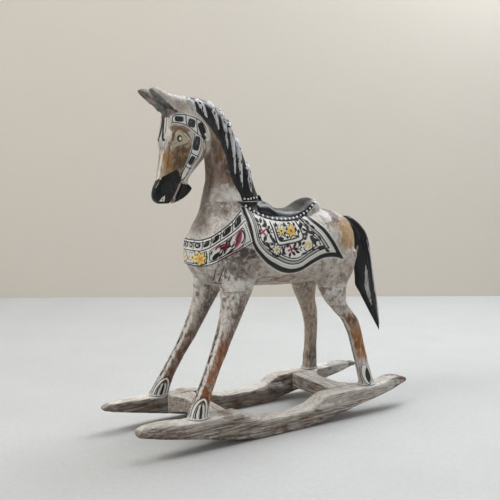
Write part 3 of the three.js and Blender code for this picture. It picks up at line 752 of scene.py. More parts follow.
# ------------------------------------------------------------------ shader nodes
class Nodes:
    def __init__(self, name):
        self.mat = bpy.data.materials.new(name)
        self.mat.use_nodes = True
        self.nt = self.mat.node_tree
        self.nt.nodes.clear()

    def new(self, kind, ins=None, **props):
        n = self.nt.nodes.new(kind)
        for k, v in props.items():
            setattr(n, k, v)
        for k, v in (ins or {}).items():
            self.put(n.inputs[k], v)
        return n

    def put(self, sock, v):
        if hasattr(v, 'is_output'):
            self.nt.links.new(v, sock)
        elif isinstance(v, (tuple, list, np.ndarray)):
            v = [float(q) for q in v]
            if sock.type == 'RGBA' and len(v) == 3:
                v.append(1.0)
            sock.default_value = v
        else:
            sock.default_value = v

    def attr(self, name, colour=False):
        n = self.new('ShaderNodeAttribute', attribute_name=name)
        return n.outputs['Color' if colour else 'Fac']

    def math(self, op, a, b=0.0, c=0.0, clamp=False):
        n = self.new('ShaderNodeMath', operation=op, use_clamp=clamp)
        for s, v in zip(n.inputs, (a, b, c)):
            self.put(s, v)
        return n.outputs[0]

    def step(self, v, lo, hi, a=0.0, b=1.0):
        n = self.new('ShaderNodeMapRange', interpolation_type='SMOOTHSTEP')
        for s, q in zip(n.inputs, (v, lo, hi, a, b)):
            self.put(s, q)
        return n.outputs[0]

    def mix(self, fac, a, b, mode='MIX'):
        n = self.new('ShaderNodeMix', data_type='RGBA', blend_type=mode, clamp_factor=True)
        self.put(n.inputs['Factor'], fac)
        cs = [s for s in n.inputs if s.type == 'RGBA']
        self.put(cs[0], a)
        self.put(cs[1], b)
        return [s for s in n.outputs if s.type == 'RGBA'][0]

    def noise(self, size, detail=4.0, rough=0.6, offset=(0, 0, 0), dist=0.0):
        """size: feature size in mm along x, y, z."""
        co = self.new('ShaderNodeTexCoord').outputs['Object']
        mp = self.new('ShaderNodeMapping', {'Vector': co, 'Scale': tuple(1000.0 / s for s in size), 'Location': offset})
        n = self.new('ShaderNodeTexNoise', {'Vector': mp.outputs[0], 'Scale': 1.0, 'Detail': detail, 'Roughness': rough,
                                            'Distortion': dist})
        return n.outputs['Fac']


def painted_wood(name, along=(1, 1, 1), bare=(lin(126, 84, 50), lin(172, 122, 74)), rough=(0.42, 0.68), bands=None,
                 scratch=0.55, chalky=0.5, bump=0.5, blot=None):
    """Whitewash and paint rubbed back over wood. `along` stretches the brush marks (mm)."""
    n = Nodes(name)
    ax = np.array(along, float)
    streak = n.noise(tuple(0.55 * ax), 6, 0.68, (3, 1, 2))
    blotch = n.noise(blot or tuple(2.6 * np.sqrt(ax)), 5, 0.62, (7, 4, 1), 0.4)
    broad = n.noise((13, 13, 13), 3, 0.5, (1, 9, 5))
    grit = n.noise((0.22, 0.22, 0.22), 4, 0.7, (2, 2, 2))
    wash = n.attr('wash', True)
    dark = n.mix(1.0, wash, (0.40, 0.36, 0.33), 'MULTIPLY')
    pale = n.mix(0.55, wash, CHALK)
    # thin, rubbed wash: darker in the brush troughs, chalkier on the high strokes
    c = n.mix(n.step(streak, 0.36, 0.60, scratch, 0.0), wash, dark)
    c = n.mix(n.math('MULTIPLY', n.step(blotch, 0.50, 0.66), chalky), c, pale)
    c = n.mix(n.math('MULTIPLY', n.step(blotch, 0.47, 0.34), 0.42), c, dark)
    c = n.mix(n.math('MULTIPLY', n.step(broad, 0.45, 0.65), 0.34 * chalky), c, pale)
    pick = n.noise(tuple(0.30 * ax), 3, 0.75, (6, 2, 8))
    c = n.mix(n.step(pick, 0.60, 0.70, 0.0, scratch), c, (0.060, 0.046, 0.038))
    # bare wood with its own grain
    g = n.noise(tuple(0.45 * ax ** 1.6), 5, 0.6, (5, 5, 5))
    wood = n.mix(n.step(g, 0.35, 0.62), bare[0], bare[1])
    wm = n.math('ADD', n.attr('wear'), n.math('ADD', n.math('MULTIPLY', n.math('SUBTRACT', streak, 0.5), 2.1),
                                             n.math('MULTIPLY', n.math('SUBTRACT', blotch, 0.5), 1.6)))
    wmask = n.step(wm, 0.42, 0.62)
    c = n.mix(wmask, c, wood)
    # white and black paint laid over the wash, edges a little uneven
    wob = n.math('MULTIPLY', n.math('SUBTRACT', streak, 0.5), 0.7)
    wl = n.step(n.math('ADD', n.attr('white'), wob), -0.08, 0.12)
    worn = n.step(n.math('ADD', n.math('MULTIPLY', streak, 0.6), n.math('MULTIPLY', blotch, 0.4)), 0.40, 0.45)
    c = n.mix(n.math('MULTIPLY', wl, n.step(streak, 0.34, 0.44, 0.55, 0.97)), c, WHITE)
    kl = n.step(n.math('ADD', n.attr('black'), wob), -0.08, 0.12)
    kfade = n.math('MULTIPLY', kl, n.step(streak, 0.30, 0.40, 0.72, 0.996))
    c = n.mix(kfade, c, BLACK)
    gloss = n.math('MAXIMUM', n.attr('gloss'), n.math('MULTIPLY', kl, 0.75))
    if bands is not None:
        c, gloss = bands(n, c, gloss, wob, streak, worn)
    # darkened by the vertex attribute that holds painted shade (hollows, creases, faces turned downward) and dirt
    # streaks
    c = n.mix(n.math('MULTIPLY', n.attr('dirt'), n.step(streak, 0.30, 0.62, 1.0, 0.55)), c, (0.045, 0.036, 0.030))
    r = n.step(blotch, 0.3, 0.7, rough[0], rough[1])
    r = n.math('ADD', n.math('MULTIPLY', r, n.math('SUBTRACT', 1.0, n.math('MULTIPLY', gloss, 0.52))), n.math('MULTIPLY', wmask, 0.06))
    h = n.math('ADD', n.math('MULTIPLY', streak, 0.6), n.math('MULTIPLY', grit, 0.25))
    h = n.math('SUBTRACT', h, n.math('MULTIPLY', wmask, 0.22))
    h = n.math('ADD', h, n.math('MULTIPLY', n.math('MAXIMUM', kl, wl), 0.25))
    bp = n.new('ShaderNodeBump', {'Height': h, 'Strength': bump, 'Distance': 0.00022})
    sh = n.new('ShaderNodeBsdfPrincipled', {'Base Color': c, 'Roughness': r, 'Normal': bp.outputs[0],
                                            'Specular IOR Level': 0.34})
    out = n.new('ShaderNodeOutputMaterial', {'Surface': sh.outputs[0]})
    return n.mat


def enamel(name, colour, rough=0.38, mottled=0.25, worn=0.35, under=WASH2):
    """Brushed-on paint of one colour, rubbed through in places."""
    n = Nodes(name)
    s = n.noise((0.5, 0.5, 0.5), 5, 0.65, (4, 1, 6))
    b = n.noise((2.2, 2.2, 2.2), 4, 0.6, (8, 3, 2))
    c = n.mix(n.step(b, 0.35, 0.65, 0.0, mottled), colour, 0.5 * (np.asarray(colour) + np.asarray(under)))
    m = n.step(n.math('ADD', n.math('MULTIPLY', s, 0.6), n.math('MULTIPLY', b, 0.4)), 0.40, 0.35)
    c = n.mix(n.math('MULTIPLY', m, worn), c, under)
    bp = n.new('ShaderNodeBump', {'Height': s, 'Strength': 0.35, 'Distance': 0.00015})
    sh = n.new('ShaderNodeBsdfPrincipled', {'Base Color': c, 'Roughness': n.step(s, 0.3, 0.7, rough * 0.8, rough * 1.25),
                                            'Normal': bp.outputs[0], 'Specular IOR Level': 0.45})
    n.new('ShaderNodeOutputMaterial', {'Surface': sh.outputs[0]})
    return n.mat


# ------------------------------------------------------------------ trunk
MANE_EDGE = [(-56.0, 197.0), (-53.1, 194.4), (-48.4, 188.1), (-42.3, 181.8), (-35.9, 174.1), (-31.1, 164.7),
             (-28.9, 155.8), (-26.6, 149.1), (-24.3, 144.7), (-21.3, 139.0), (-20.6, 136.0)]
SADDLE_EDGE = crom(SEAT_RIM + [(34.2, 138.0), (34.0, 142.0)])


def trunk_bands(n, c, gloss, wob, streak, worn):
    e = n.math('ADD', n.attr('blanket'), n.math('MULTIPLY', wob, 0.9))
    grey, pale = lin(168, 166, 158), lin(206, 204, 197)
    b = BLACK
    for t, col in ((2.7, pale), (4.4, WHITE), (5.2, BLACK), (5.9, grey), (7.2, BLACK), (7.9, WHITE), (8.7, BLACK), (9.4, lin(240, 238, 232))):
        b = n.mix(n.step(e, t - 0.10, t + 0.10), b, col)
    rub = n.step(streak, 0.34, 0.42, 0.28, 0.0)
    b = n.mix(rub, b, lin(120, 112, 104))
    # painted highlight: a pale line just outside the black border; painted shadow of the raised border: a dark line
    # along it
    c = n.mix(n.math('MULTIPLY', n.step(e, -1.25, -0.95), 0.62), c, WHITE)
    c = n.mix(n.step(e, -0.42, -0.30, 0.0, 0.75), c, lin(70, 64, 60))
    c = n.mix(n.step(e, -0.08, 0.08), c, b)
    up, lo, mid = n.attr('collar_up'), n.attr('collar_low'), n.attr('collar_mid')
    rear = n.attr('collar_end')
    edge = n.math('ADD', n.math('MINIMUM', n.math('MINIMUM', up, lo), rear), n.math('MULTIPLY', wob, 0.6))
    k = BLACK
    for t, col in ((0.55, WHITE), (1.35, BLACK), (1.85, lin(210, 208, 202))):
        k = n.mix(n.step(edge, t - 0.08, t + 0.08), k, col)
    m = n.math('ABSOLUTE', n.math('ADD', mid, n.math('MULTIPLY', wob, 0.6)))
    k = n.mix(n.step(m, 1.02, 0.86), k, WHITE)
    k = n.mix(n.step(m, 0.36, 0.22), k, BLACK)
    k = n.mix(n.math('MULTIPLY', rub, 0.8), k, lin(120, 112, 104))
    c = n.mix(n.step(edge, -0.08, 0.08), c, k)
    s = n.step(n.math('ADD', n.attr('saddle'), n.math('MULTIPLY', wob, 0.5)), -0.08, 0.10)
    scuff = n.mix(n.step(streak, 0.40, 0.30, 0.0, 0.55), BLACK, lin(92, 84, 78))
    c = n.mix(s, c, scuff)
    gloss = n.math('MAXIMUM', gloss, n.math('MULTIPLY', s, 0.95))
    band = n.math('MAXIMUM', n.step(e, -0.08, 0.08), n.step(edge, -0.08, 0.08))
    return c, n.math('MAXIMUM', gloss, n.math('MULTIPLY', band, 0.45))


def make_trunk():
    V, Q = build_trunk()
    x, z = V[:, 0], V[:, 2]
    db, ds, dc = d_blanket(x, z), d_saddle(x, z), d_collar(x, z)
    plain = 1 - smooth(-1.2, 0.8, np.maximum(np.maximum(db, ds), dc))

    def cut(P, N):
        flush = (1 - smooth(0.0, 1.2, np.abs(P[:, 2] - SEAM['neck']))) * (P[:, 0] < -2)
        flush = np.maximum(flush, 1 - smooth(0.0, 1.5, np.minimum(np.abs(P[:, 2] - SEAM['foreleg']), np.abs(P[:, 2] - SEAM['hindleg']))))
        d = knife(P, 9.0, 0.34, 11, (1.3, 1, 1)) * plain + 0.07 * fbm(P, 2.2, 3, 3)
        return d * (1 - flush)
    V = carve(V, Q, cut)
    p = Paint(V, Q, WASH, 20)
    P, N = p.V, p.N
    x, y, z = P.T
    cur = curvature(P, Q, 8)
    # painted shade: darker in the hollows and creases
    p.dirt += smooth(0.05, 0.30, -cur) * 0.55
    # broad tones: painted shade underneath (greyer low down and on faces turned downward), warmer flanks
    p.lay((1 - smooth(84, 98, z)) * 0.45, WASH2)
    p.lay((1 - smooth(92, 106, z)) * (x > -20) * (x < 60) * 0.30, lin(158, 132, 104))
    p.lay(np.clip(-N[:, 2], 0, 1) * 0.45, lin(142, 124, 108))
    p.lay(smooth(0.05, 0.5, fbm(P, 15.0, 2)) * 0.22, lin(158, 142, 130))
    m1 = fbm(P, (4.5, 4.5, 5.5), 41, 4)
    p.lay(smooth(0.08, 0.38, m1) * 0.62, lin(120, 99, 85))
    p.lay(smooth(0.16, 0.46, -m1) * 0.45, lin(214, 210, 204))
    m2 = fbm(P, (1.3, 1.3, 2.2), 47, 3)
    p.lay(smooth(0.30, 0.52, m2) * 0.50, lin(104, 84, 72))
    # dark rubbed patches behind the collar and on the shoulder
    p.dab((-25.0, None, 107.5), (8.5, 1, 3.8), lin(52, 42, 37), 0.95, 0.45, wear=0.0, grain=(3.0, 3.0, 1.3))
    p.dab((-27.0, None, 103.5), (12.0, 1, 6.0), lin(98, 84, 76), 0.55, 0.9, grain=(1.2, 1.2, 1.2))
    p.dab((-33.0, None, 100.5), (8.0, 1, 7.5), lin(88, 74, 66), 0.7, 1.0, grain=(1.6, 1.6, 1.6), wear=0.1)
    p.dab((-24.0, None, 95.0), (7.0, 1, 5.0), lin(112, 88, 76), 0.6, 1.0, grain=(1.6, 1.6, 1.6))
    p.dab((-42.0, None, 96.5), (6.0, 1, 4.0), lin(110, 96, 86), 0.45, 0.8)
    p.dab((-31.0, None, 90.0), (8.0, 1, 3.0), CHALK, 0.6, 0.7)
    # rump
    p.dab((48.0, None, 126.5), (13.0, 1, 8.0), lin(150, 132, 122), 0.8, 0.6, grain=(1.4, 1.4, 3.0))
    p.dab((44.6, None, 127.6), (5.6, 1, 5.6), lin(100, 78, 74), 0.9, 0.7, grain=(1.2, 1.2, 3.5))
    p.dab((50.0, None, 126.0), (2.2, 1, 6.0), lin(196, 190, 184), 0.8, 0.8, grain=(0.9, 0.9, 4.0))
    p.dab((53.0, None, 115.5), (9.5, 1, 10.5), lin(172, 124, 74), 0.92, 0.45, grain=(1.5, 1.5, 5.0), wear=0.2)
    p.dab((53.0, None, 115.5), (8.0, 1, 9.5), lin(206, 172, 128), 0.6, 1.4, grain=(0.9, 0.9, 3.0))
    p.dab((45.0, None, 107.0), (4.0, 1, 4.0), lin(186, 172, 152), 0.5, 0.6, grain=(1.2, 1.2, 4.0))
    p.dab((57.0, None, 125.0), (4.0, 1, 3.0), lin(148, 124, 104), 0.6, 0.8)
    p.dab((52.0, None, 97.0), (9.0, 1, 5.0), lin(150, 132, 120), 0.45, 1.0, grain=(1.4, 1.4, 1.4))
    p.dab((49.0, None, 88.0), (9.0, 1, 3.2), lin(122, 106, 98), 0.5, 1.0, grain=(1.4, 1.4, 1.4))
    p.dab((37.0, None, 131.0), (4.6, 1, 5.4), lin(208, 207, 203), 1.0, 0.30, seed=5, wear=-0.5)
    p.dab((39.0, None, 126.0), (3.0, 1, 2.4), lin(222, 221, 217), 0.9, 0.4, seed=9, wear=-0.5)
    # rubbed rings of red-brown on the belly
    for cx, cz, rx, rz, s in ((-8.0, 90.5, 7.0, 1.7, 0.8), (6.5, 89.8, 6.5, 1.8, 0.7), (-1.0, 90.2, 3.0, 1.0, 0.9), (28.0, 95.0, 4.0, 2.2, 0.35)):
        r = np.hypot((x - cx) / rx, (z - cz) / rz) + 0.22 * fbm(P, 2.0, 31, 3)
        p.lay((1 - smooth(0.08, 0.26, np.abs(r - 1.0))) * s, lin(132, 84, 66))
    # neck base
    p.dab((-36.0, None, 133.0), (7.0, 1, 4.5), lin(128, 108, 96), 0.6, 1.0, grain=(1.3, 1.3, 1.8))
    p.dab((-33.0, None, 122.0), (8.0, 1, 6.0), lin(176, 166, 156), 0.5, 1.2, grain=(1.5, 1.5, 1.5))
    front = (1 - smooth(0, 3.2, x - pchip(NECK)(np.clip(z, 112, 137)))) * smooth(116, 122, z)
    p.lay(front * 0.55, lin(120, 98, 84))
    seam = 1 - smooth(0.25, 0.9, np.minimum(np.abs(z - 85.9) + (x > 0) * 9, np.abs(z - 82.9) + (x < 0) * 9) + 0.25 * fbm(P, 1.6, 4))
    p.dirt = p.dirt * (1 - 0.8 * seam)
    p.lay(seam * 0.55, CHALK)
    S = 1.0 + 0.5 * (1 - smooth(-19, -2, x))
    db2 = d_blanket(x, z) * S
    up, lo, mid = collar_edges(x, z)
    side = (x + 23.6) - (134.5 - z) * (3.4 / 22.5)
    rear = seg_dist(x, z, np.array([[-23.6, 134.5], [-20.2, 112.0]]))
    rear = np.where(side < 0, rear, -rear)
    lo = np.where(z < 95, np.minimum(lo, z - 100.0), lo)
    mat = painted_wood("painted_body", (1.6, 1.6, 1.6), bands=trunk_bands)
    return p.finish("carved_body", ["trunk"], mat,
                    dict(blanket=np.where(z < 92.5, -5.0, db2), collar_up=up, collar_low=lo, collar_mid=mid, collar_end=rear,
                         saddle=d_saddle(x, z)))


# ------------------------------------------------------------------ head and neck
def lock_field(x, z):
    """For each vertex: distance from the nearest lock's centre line over its half width, and its place along it."""
    best, along = np.full(len(x), 9.0), np.zeros(len(x))
    for row in LOCKS:
        s = np.linspace(0, 1, 24)
        cx, cz, _, _ = quad_curve(row, s)
        for i in range(23):
            a, b = np.array([cx[i], cz[i]]), np.array([cx[i + 1], cz[i + 1]])
            ab = b - a
            t = np.clip(((x - a[0]) * ab[0] + (z - a[1]) * ab[1]) / ab.dot(ab), 0, 1)
            d = np.hypot(x - a[0] - t * ab[0], z - a[1] - t * ab[1])
            q = (i + t) / 23.0
            w = (2.45 - 0.9 * q) * np.sin(np.pi * (0.16 + 0.80 * q)) ** 0.6
            r = d / np.maximum(w, 0.25)
            m = r < best
            best = np.where(m, r, best)
            along = np.where(m, q, along)
    return best, along


def make_head():
    V, Q = build_head()

    def cut(P, N):
        flush = 1 - smooth(0.0, 1.2, np.abs(P[:, 2] - SEAM['neck'] - GAP))
        nk = (P[:, 0] > -46) & (P[:, 2] < 176)
        u, q = lock_field(P[:, 0], P[:, 2])
        lock = 1 - smooth(0.95, 1.1, u)
        d = np.where(nk, knife(P, 7.0, 0.30, 21, (1, 1, 1.6)), knife(P, 5.0, 0.16, 23)) * (1 - lock)
        d = d + 0.05 * fbm(P, 1.6, 6, 3)
        # knife lines down each lock
        d = d - 0.16 * lock * smooth(0.1, 0.5, np.abs(np.sin(u * 5.2)))
        return d * (1 - flush)
    V = carve(V, Q, cut)
    p = Paint(V, Q, WASH, 40)
    P, N = p.V, p.N
    x, y, z = P.T
    ay = np.abs(y)
    cur = curvature(P, Q, 8)
    # painted shade: darker in the hollows and creases
    p.dirt += smooth(0.04, 0.22, -cur) * 0.6
    neck = smooth(-47.5, -44.0, x + 0.0 * z) * (1 - smooth(184, 190, z))
    jaw = pchip([(136, -49), (150, -45), (162, -41.5), (172, -40.5), (182, -42.5), (190, -49)])
    nk = np.clip((x - jaw(z)) / 1.6, 0, 1)
    p.lay(nk * smooth(143, 156, z) * 0.85, lin(148, 126, 108))
    p.lay(nk * smooth(-0.2, 0.35, fbm(P, (3, 3, 9), 12)) * smooth(140, 150, z) * 0.5, lin(112, 86, 70))
    me = pchip([(b, a) for a, b in MANE_EDGE])
    dm = (x - me(z)) * 0.80                          # + on the mane side
    near = nk * (1 - smooth(3.0, 9.0, -dm)) * smooth(139, 150, z)
    p.lay(near * (0.75 + 0.25 * fbm(P, (2, 2, 7), 8)), lin(112, 76, 44))
    p.lay(near * smooth(0.0, 0.4, fbm(P, (1.2, 1.2, 6), 18)) * 0.8, lin(76, 50, 34))
    p.dab((-36.5, None, 148.0), (5.5, 1, 12.0), lin(160, 136, 124), 0.6, 0.7, grain=(2, 2, 4))
    p.dab((-30.0, None, 142.0), (8.0, 1, 4.5), CHALK, 0.6, 0.7)
    fr = pchip([(r[0], r[1]) for r in NECK])
    p.lay(nk * (1 - smooth(0.6, 2.6, x - fr(z))) * 0.6 * (z > 137), lin(98, 74, 58))
    # face: ochre cheeks and nose sides, pale blaze, brown above the eye
    face = 1 - nk
    p.lay(face * 0.25, BEIGE)
    p.dab((-60.5, 7.0, 161.5), (9.0, 5.5, 9.5), lin(132, 98, 54), 0.95, 0.42, grain=(1.3, 1.3, 4.0), wear=0.1)
    p.dab((-61.0, 7.0, 160.0), (6.0, 5.5, 8.0), lin(88, 64, 36), 0.8, 1.2, grain=(0.8, 0.8, 4.5))
    p.lay((x < -63.6) * smooth(149, 152, z) * (1 - smooth(164, 168, z + 2 * fbm(P, (1, 1, 3), 3))) * (ay < 6.5) * (0.75 + 0.5 * fbm(P, (0.8, 0.8, 4), 77)), lin(150, 112, 64))
    p.dab((-66.5, 5.0, 160.5), (2.6, 3.4, 9.0), lin(158, 118, 66), 0.9, 0.4, grain=(1.2, 1.2, 4.0))
    p.dab((-56.0, 7.5, 158.0), (3.2, 5.0, 6.0), lin(112, 88, 62), 0.7, 0.6, grain=(1.2, 1.2, 4.0))
    p.dab((-59.5, 8.0, 178.2), (7.5, 5.0, 2.3), lin(132, 96, 62), 0.85, 0.3)
    p.dab((-51.5, 8.0, 172.5), (3.2, 5.0, 4.0), lin(150, 138, 122), 0.8, 0.5)
    p.dab((-47.0, 6.0, 163.0), (5.0, 6.0, 11.0), lin(136, 122, 104), 0.8, 0.5, grain=(1.4, 1.4, 4))
    p.dab((-44.5, 5.0, 160.0), (2.6, 6.0, 13.0), lin(112, 86, 58), 0.75, 0.5, grain=(1.2, 1.2, 4))
    blaze = (1 - smooth(1.1, 1.9, np.abs(y + 1.0) * (1 + 0.03 * (166 - z)) + 0.6 * fbm(P, (1, 1, 5), 14))) * (x < -62) * smooth(147, 151, z) * (1 - smooth(166, 172, z))
    p.lay(blaze * 0.92, WHITE)
    fore = (x < -62.5) * (ay < 5.2) * smooth(164, 170, z) * (1 - smooth(185, 188, z))
    p.lay(fore * 0.75, lin(206, 202, 194))
    p.dab((-68.2, 0.0, 168.8), (2.2, 3.2, 4.2), lin(160, 156, 148), 0.8, 0.3)
    # muzzle
    edge = pchip([(-76, 147.0), (-70.5, 150.6), (-67.3, 153.0), (-64.6, 154.9), (-60.9, 155.4), (-58.6, 150.5), (-57.6, 146.5)])
    km = np.where(x < -57.6, edge(x) - z + 1.5 * fbm(P, (0.9, 0.9, 3.5), 15), -9.0)
    a, b = np.array([-64.8, 135.5]), np.array([-57.9, 148.8])
    ab = b - a
    t = np.clip(((x - a[0]) * ab[0] + (z - a[1]) * ab[1]) / ab.dot(ab), 0, 1)
    dm_ = np.hypot(x - a[0] - t * ab[0], z - a[1] - t * ab[1])
    beyond = ((x - a[0]) * ab[1] - (z - a[1]) * ab[0]) / np.hypot(*ab)      # + towards the jaw
    jawk = np.minimum(np.minimum(147.6 - z + 0.10 * (x + 56) * 0, x + 61.5), 1.0 * beyond - 0.9) + 0.5 * fbm(P, 1.6, 9)
    jawk = np.where((x < -47) & (z < 149), jawk, -9.0)
    k = np.maximum(np.minimum(km, -beyond - 0.7), jawk)
    p.k = np.maximum(p.k, np.clip(k, -9, 9))
    strip = (1 - smooth(0.9, 1.4, np.abs(beyond))) * (z < 149.5) * (x < -56)
    p.lay(strip * 0.85, lin(178, 160, 150))
    p.dab((-53.8, 4.5, 143.2), (2.6, 2.5, 1.9), lin(120, 104, 84), 0.8, 0.5)
    # ears: dark hollows, whitish backs
    A, B = np.array([-62.8, 4.7, 187.0]), np.array([-78.2, 8.3, 199.2])
    d = (B - A) / np.linalg.norm(B - A)
    R = np.stack([x, ay, z], 1) - A
    al = R @ d
    back = np.array([0.63, 0, 0.75])
    back -= back.dot(d) * d
    back /= np.linalg.norm(back)
    h = R @ back
    ear = smooth(-3.5, -1.0, al) * (x < -58) * (z > 184.5)
    hollow = ear * smooth(0.10, 0.40, -(N @ np.array([back[0], 0, back[2]])) + 0.1 * noise(P, 1.2, 3))
    p.lay(ear * 0.7, lin(196, 188, 180))
    p.lay(ear * smooth(-0.1, 0.3, fbm(P, (3, 3, 3), 33)) * 0.5, lin(150, 128, 118))
    p.lay(hollow * 0.96, lin(62, 59, 57))
    inner = ear * smooth(-1.5, 0.5, al) * smooth(0.15, 0.50, -np.sign(y) * N[:, 1] + 0.10 * noise(P, 1.2, 5))
    p.lay(inner * 0.88, lin(96, 84, 76))
    p.dab((-71.5, 6.5, 193.6), (3.4, 4.0, 2.6), lin(164, 134, 128), 0.85, 0.35, side=1)
    p.dab((-68.2, 6.8, 190.4), (1.9, 3.0, 1.9), CHALK, 0.95, 0.2, side=1)
    p.lay((1 - smooth(0.0, 1.6, np.abs(z - 187.0 + 0.15 * (x + 62)))) * (x < -60) * (ay < 5.5) * 0.9, lin(62, 58, 55))
    tips = ear * smooth(17.5, 19.5, al)
    p.lay(tips * 0.7, lin(96, 86, 78))
    p.dab((-55.5, 4.0, 190.5), (4.5, 5.0, 3.0), lin(170, 150, 138), 0.6, 0.6)
    p.dab((-43.8, 6.5, 181.5), (2.2, 4.0, 3.6), lin(142, 84, 78), 0.45, 0.4)
    # mane: black valleys, brushed white locks
    wobble = 0.9 * fbm(P, (0.8, 0.8, 4.0), 17)
    p.k = np.maximum(p.k, np.where(x > -54.5, np.clip(dm + wobble * 0.6, -9, 9), -9))
    p.gloss = np.maximum(p.gloss, 0.6 * (dm > 0) * (x > -54.5))
    u, q = lock_field(x, z)
    brushed = 0.92 + 0.16 * fbm(P, (0.7, 0.7, 5.0), 19) + 0.12 * noise(P, (0.45, 0.45, 2.0), 29) - 0.22 * q
    lk = smooth(-0.10, 0.10, brushed - np.abs(u)) * smooth(0.0, 0.04, q + 0.02) * (1 - smooth(0.93, 1.0, q))
    lk = lk * (ay > 0.55) * (1 - smooth(0.46, 0.60, noise(P, (0.55, 0.55, 7.0), 83)) * smooth(0.05, 0.2, q))
    p.k = np.where(lk > 0.5, -(lk - 0.5) * 1.4, p.k)
    tint = smooth(-0.2, 0.5, fbm(P, (0.8, 0.8, 4.0), 27))[:, None]
    colr = lin(222, 222, 224) * (1 - tint) + lin(176, 178, 188) * tint
    m = lk[:, None]
    p.col = p.col * (1 - m) + colr * m
    p.w = np.where(lk > 0.5, -9.0, p.w)
    p.dirt = np.where(lk > 0.5, 0.0, p.dirt)
    p.gloss = np.maximum(p.gloss, 0.45 * (1 - nk))
    mat = painted_wood("painted_head", (1.2, 1.2, 2.4), rough=(0.38, 0.60), chalky=0.32, scratch=0.45)
    return p.finish("carved_head_and_neck", ["neck_and_head"], mat)


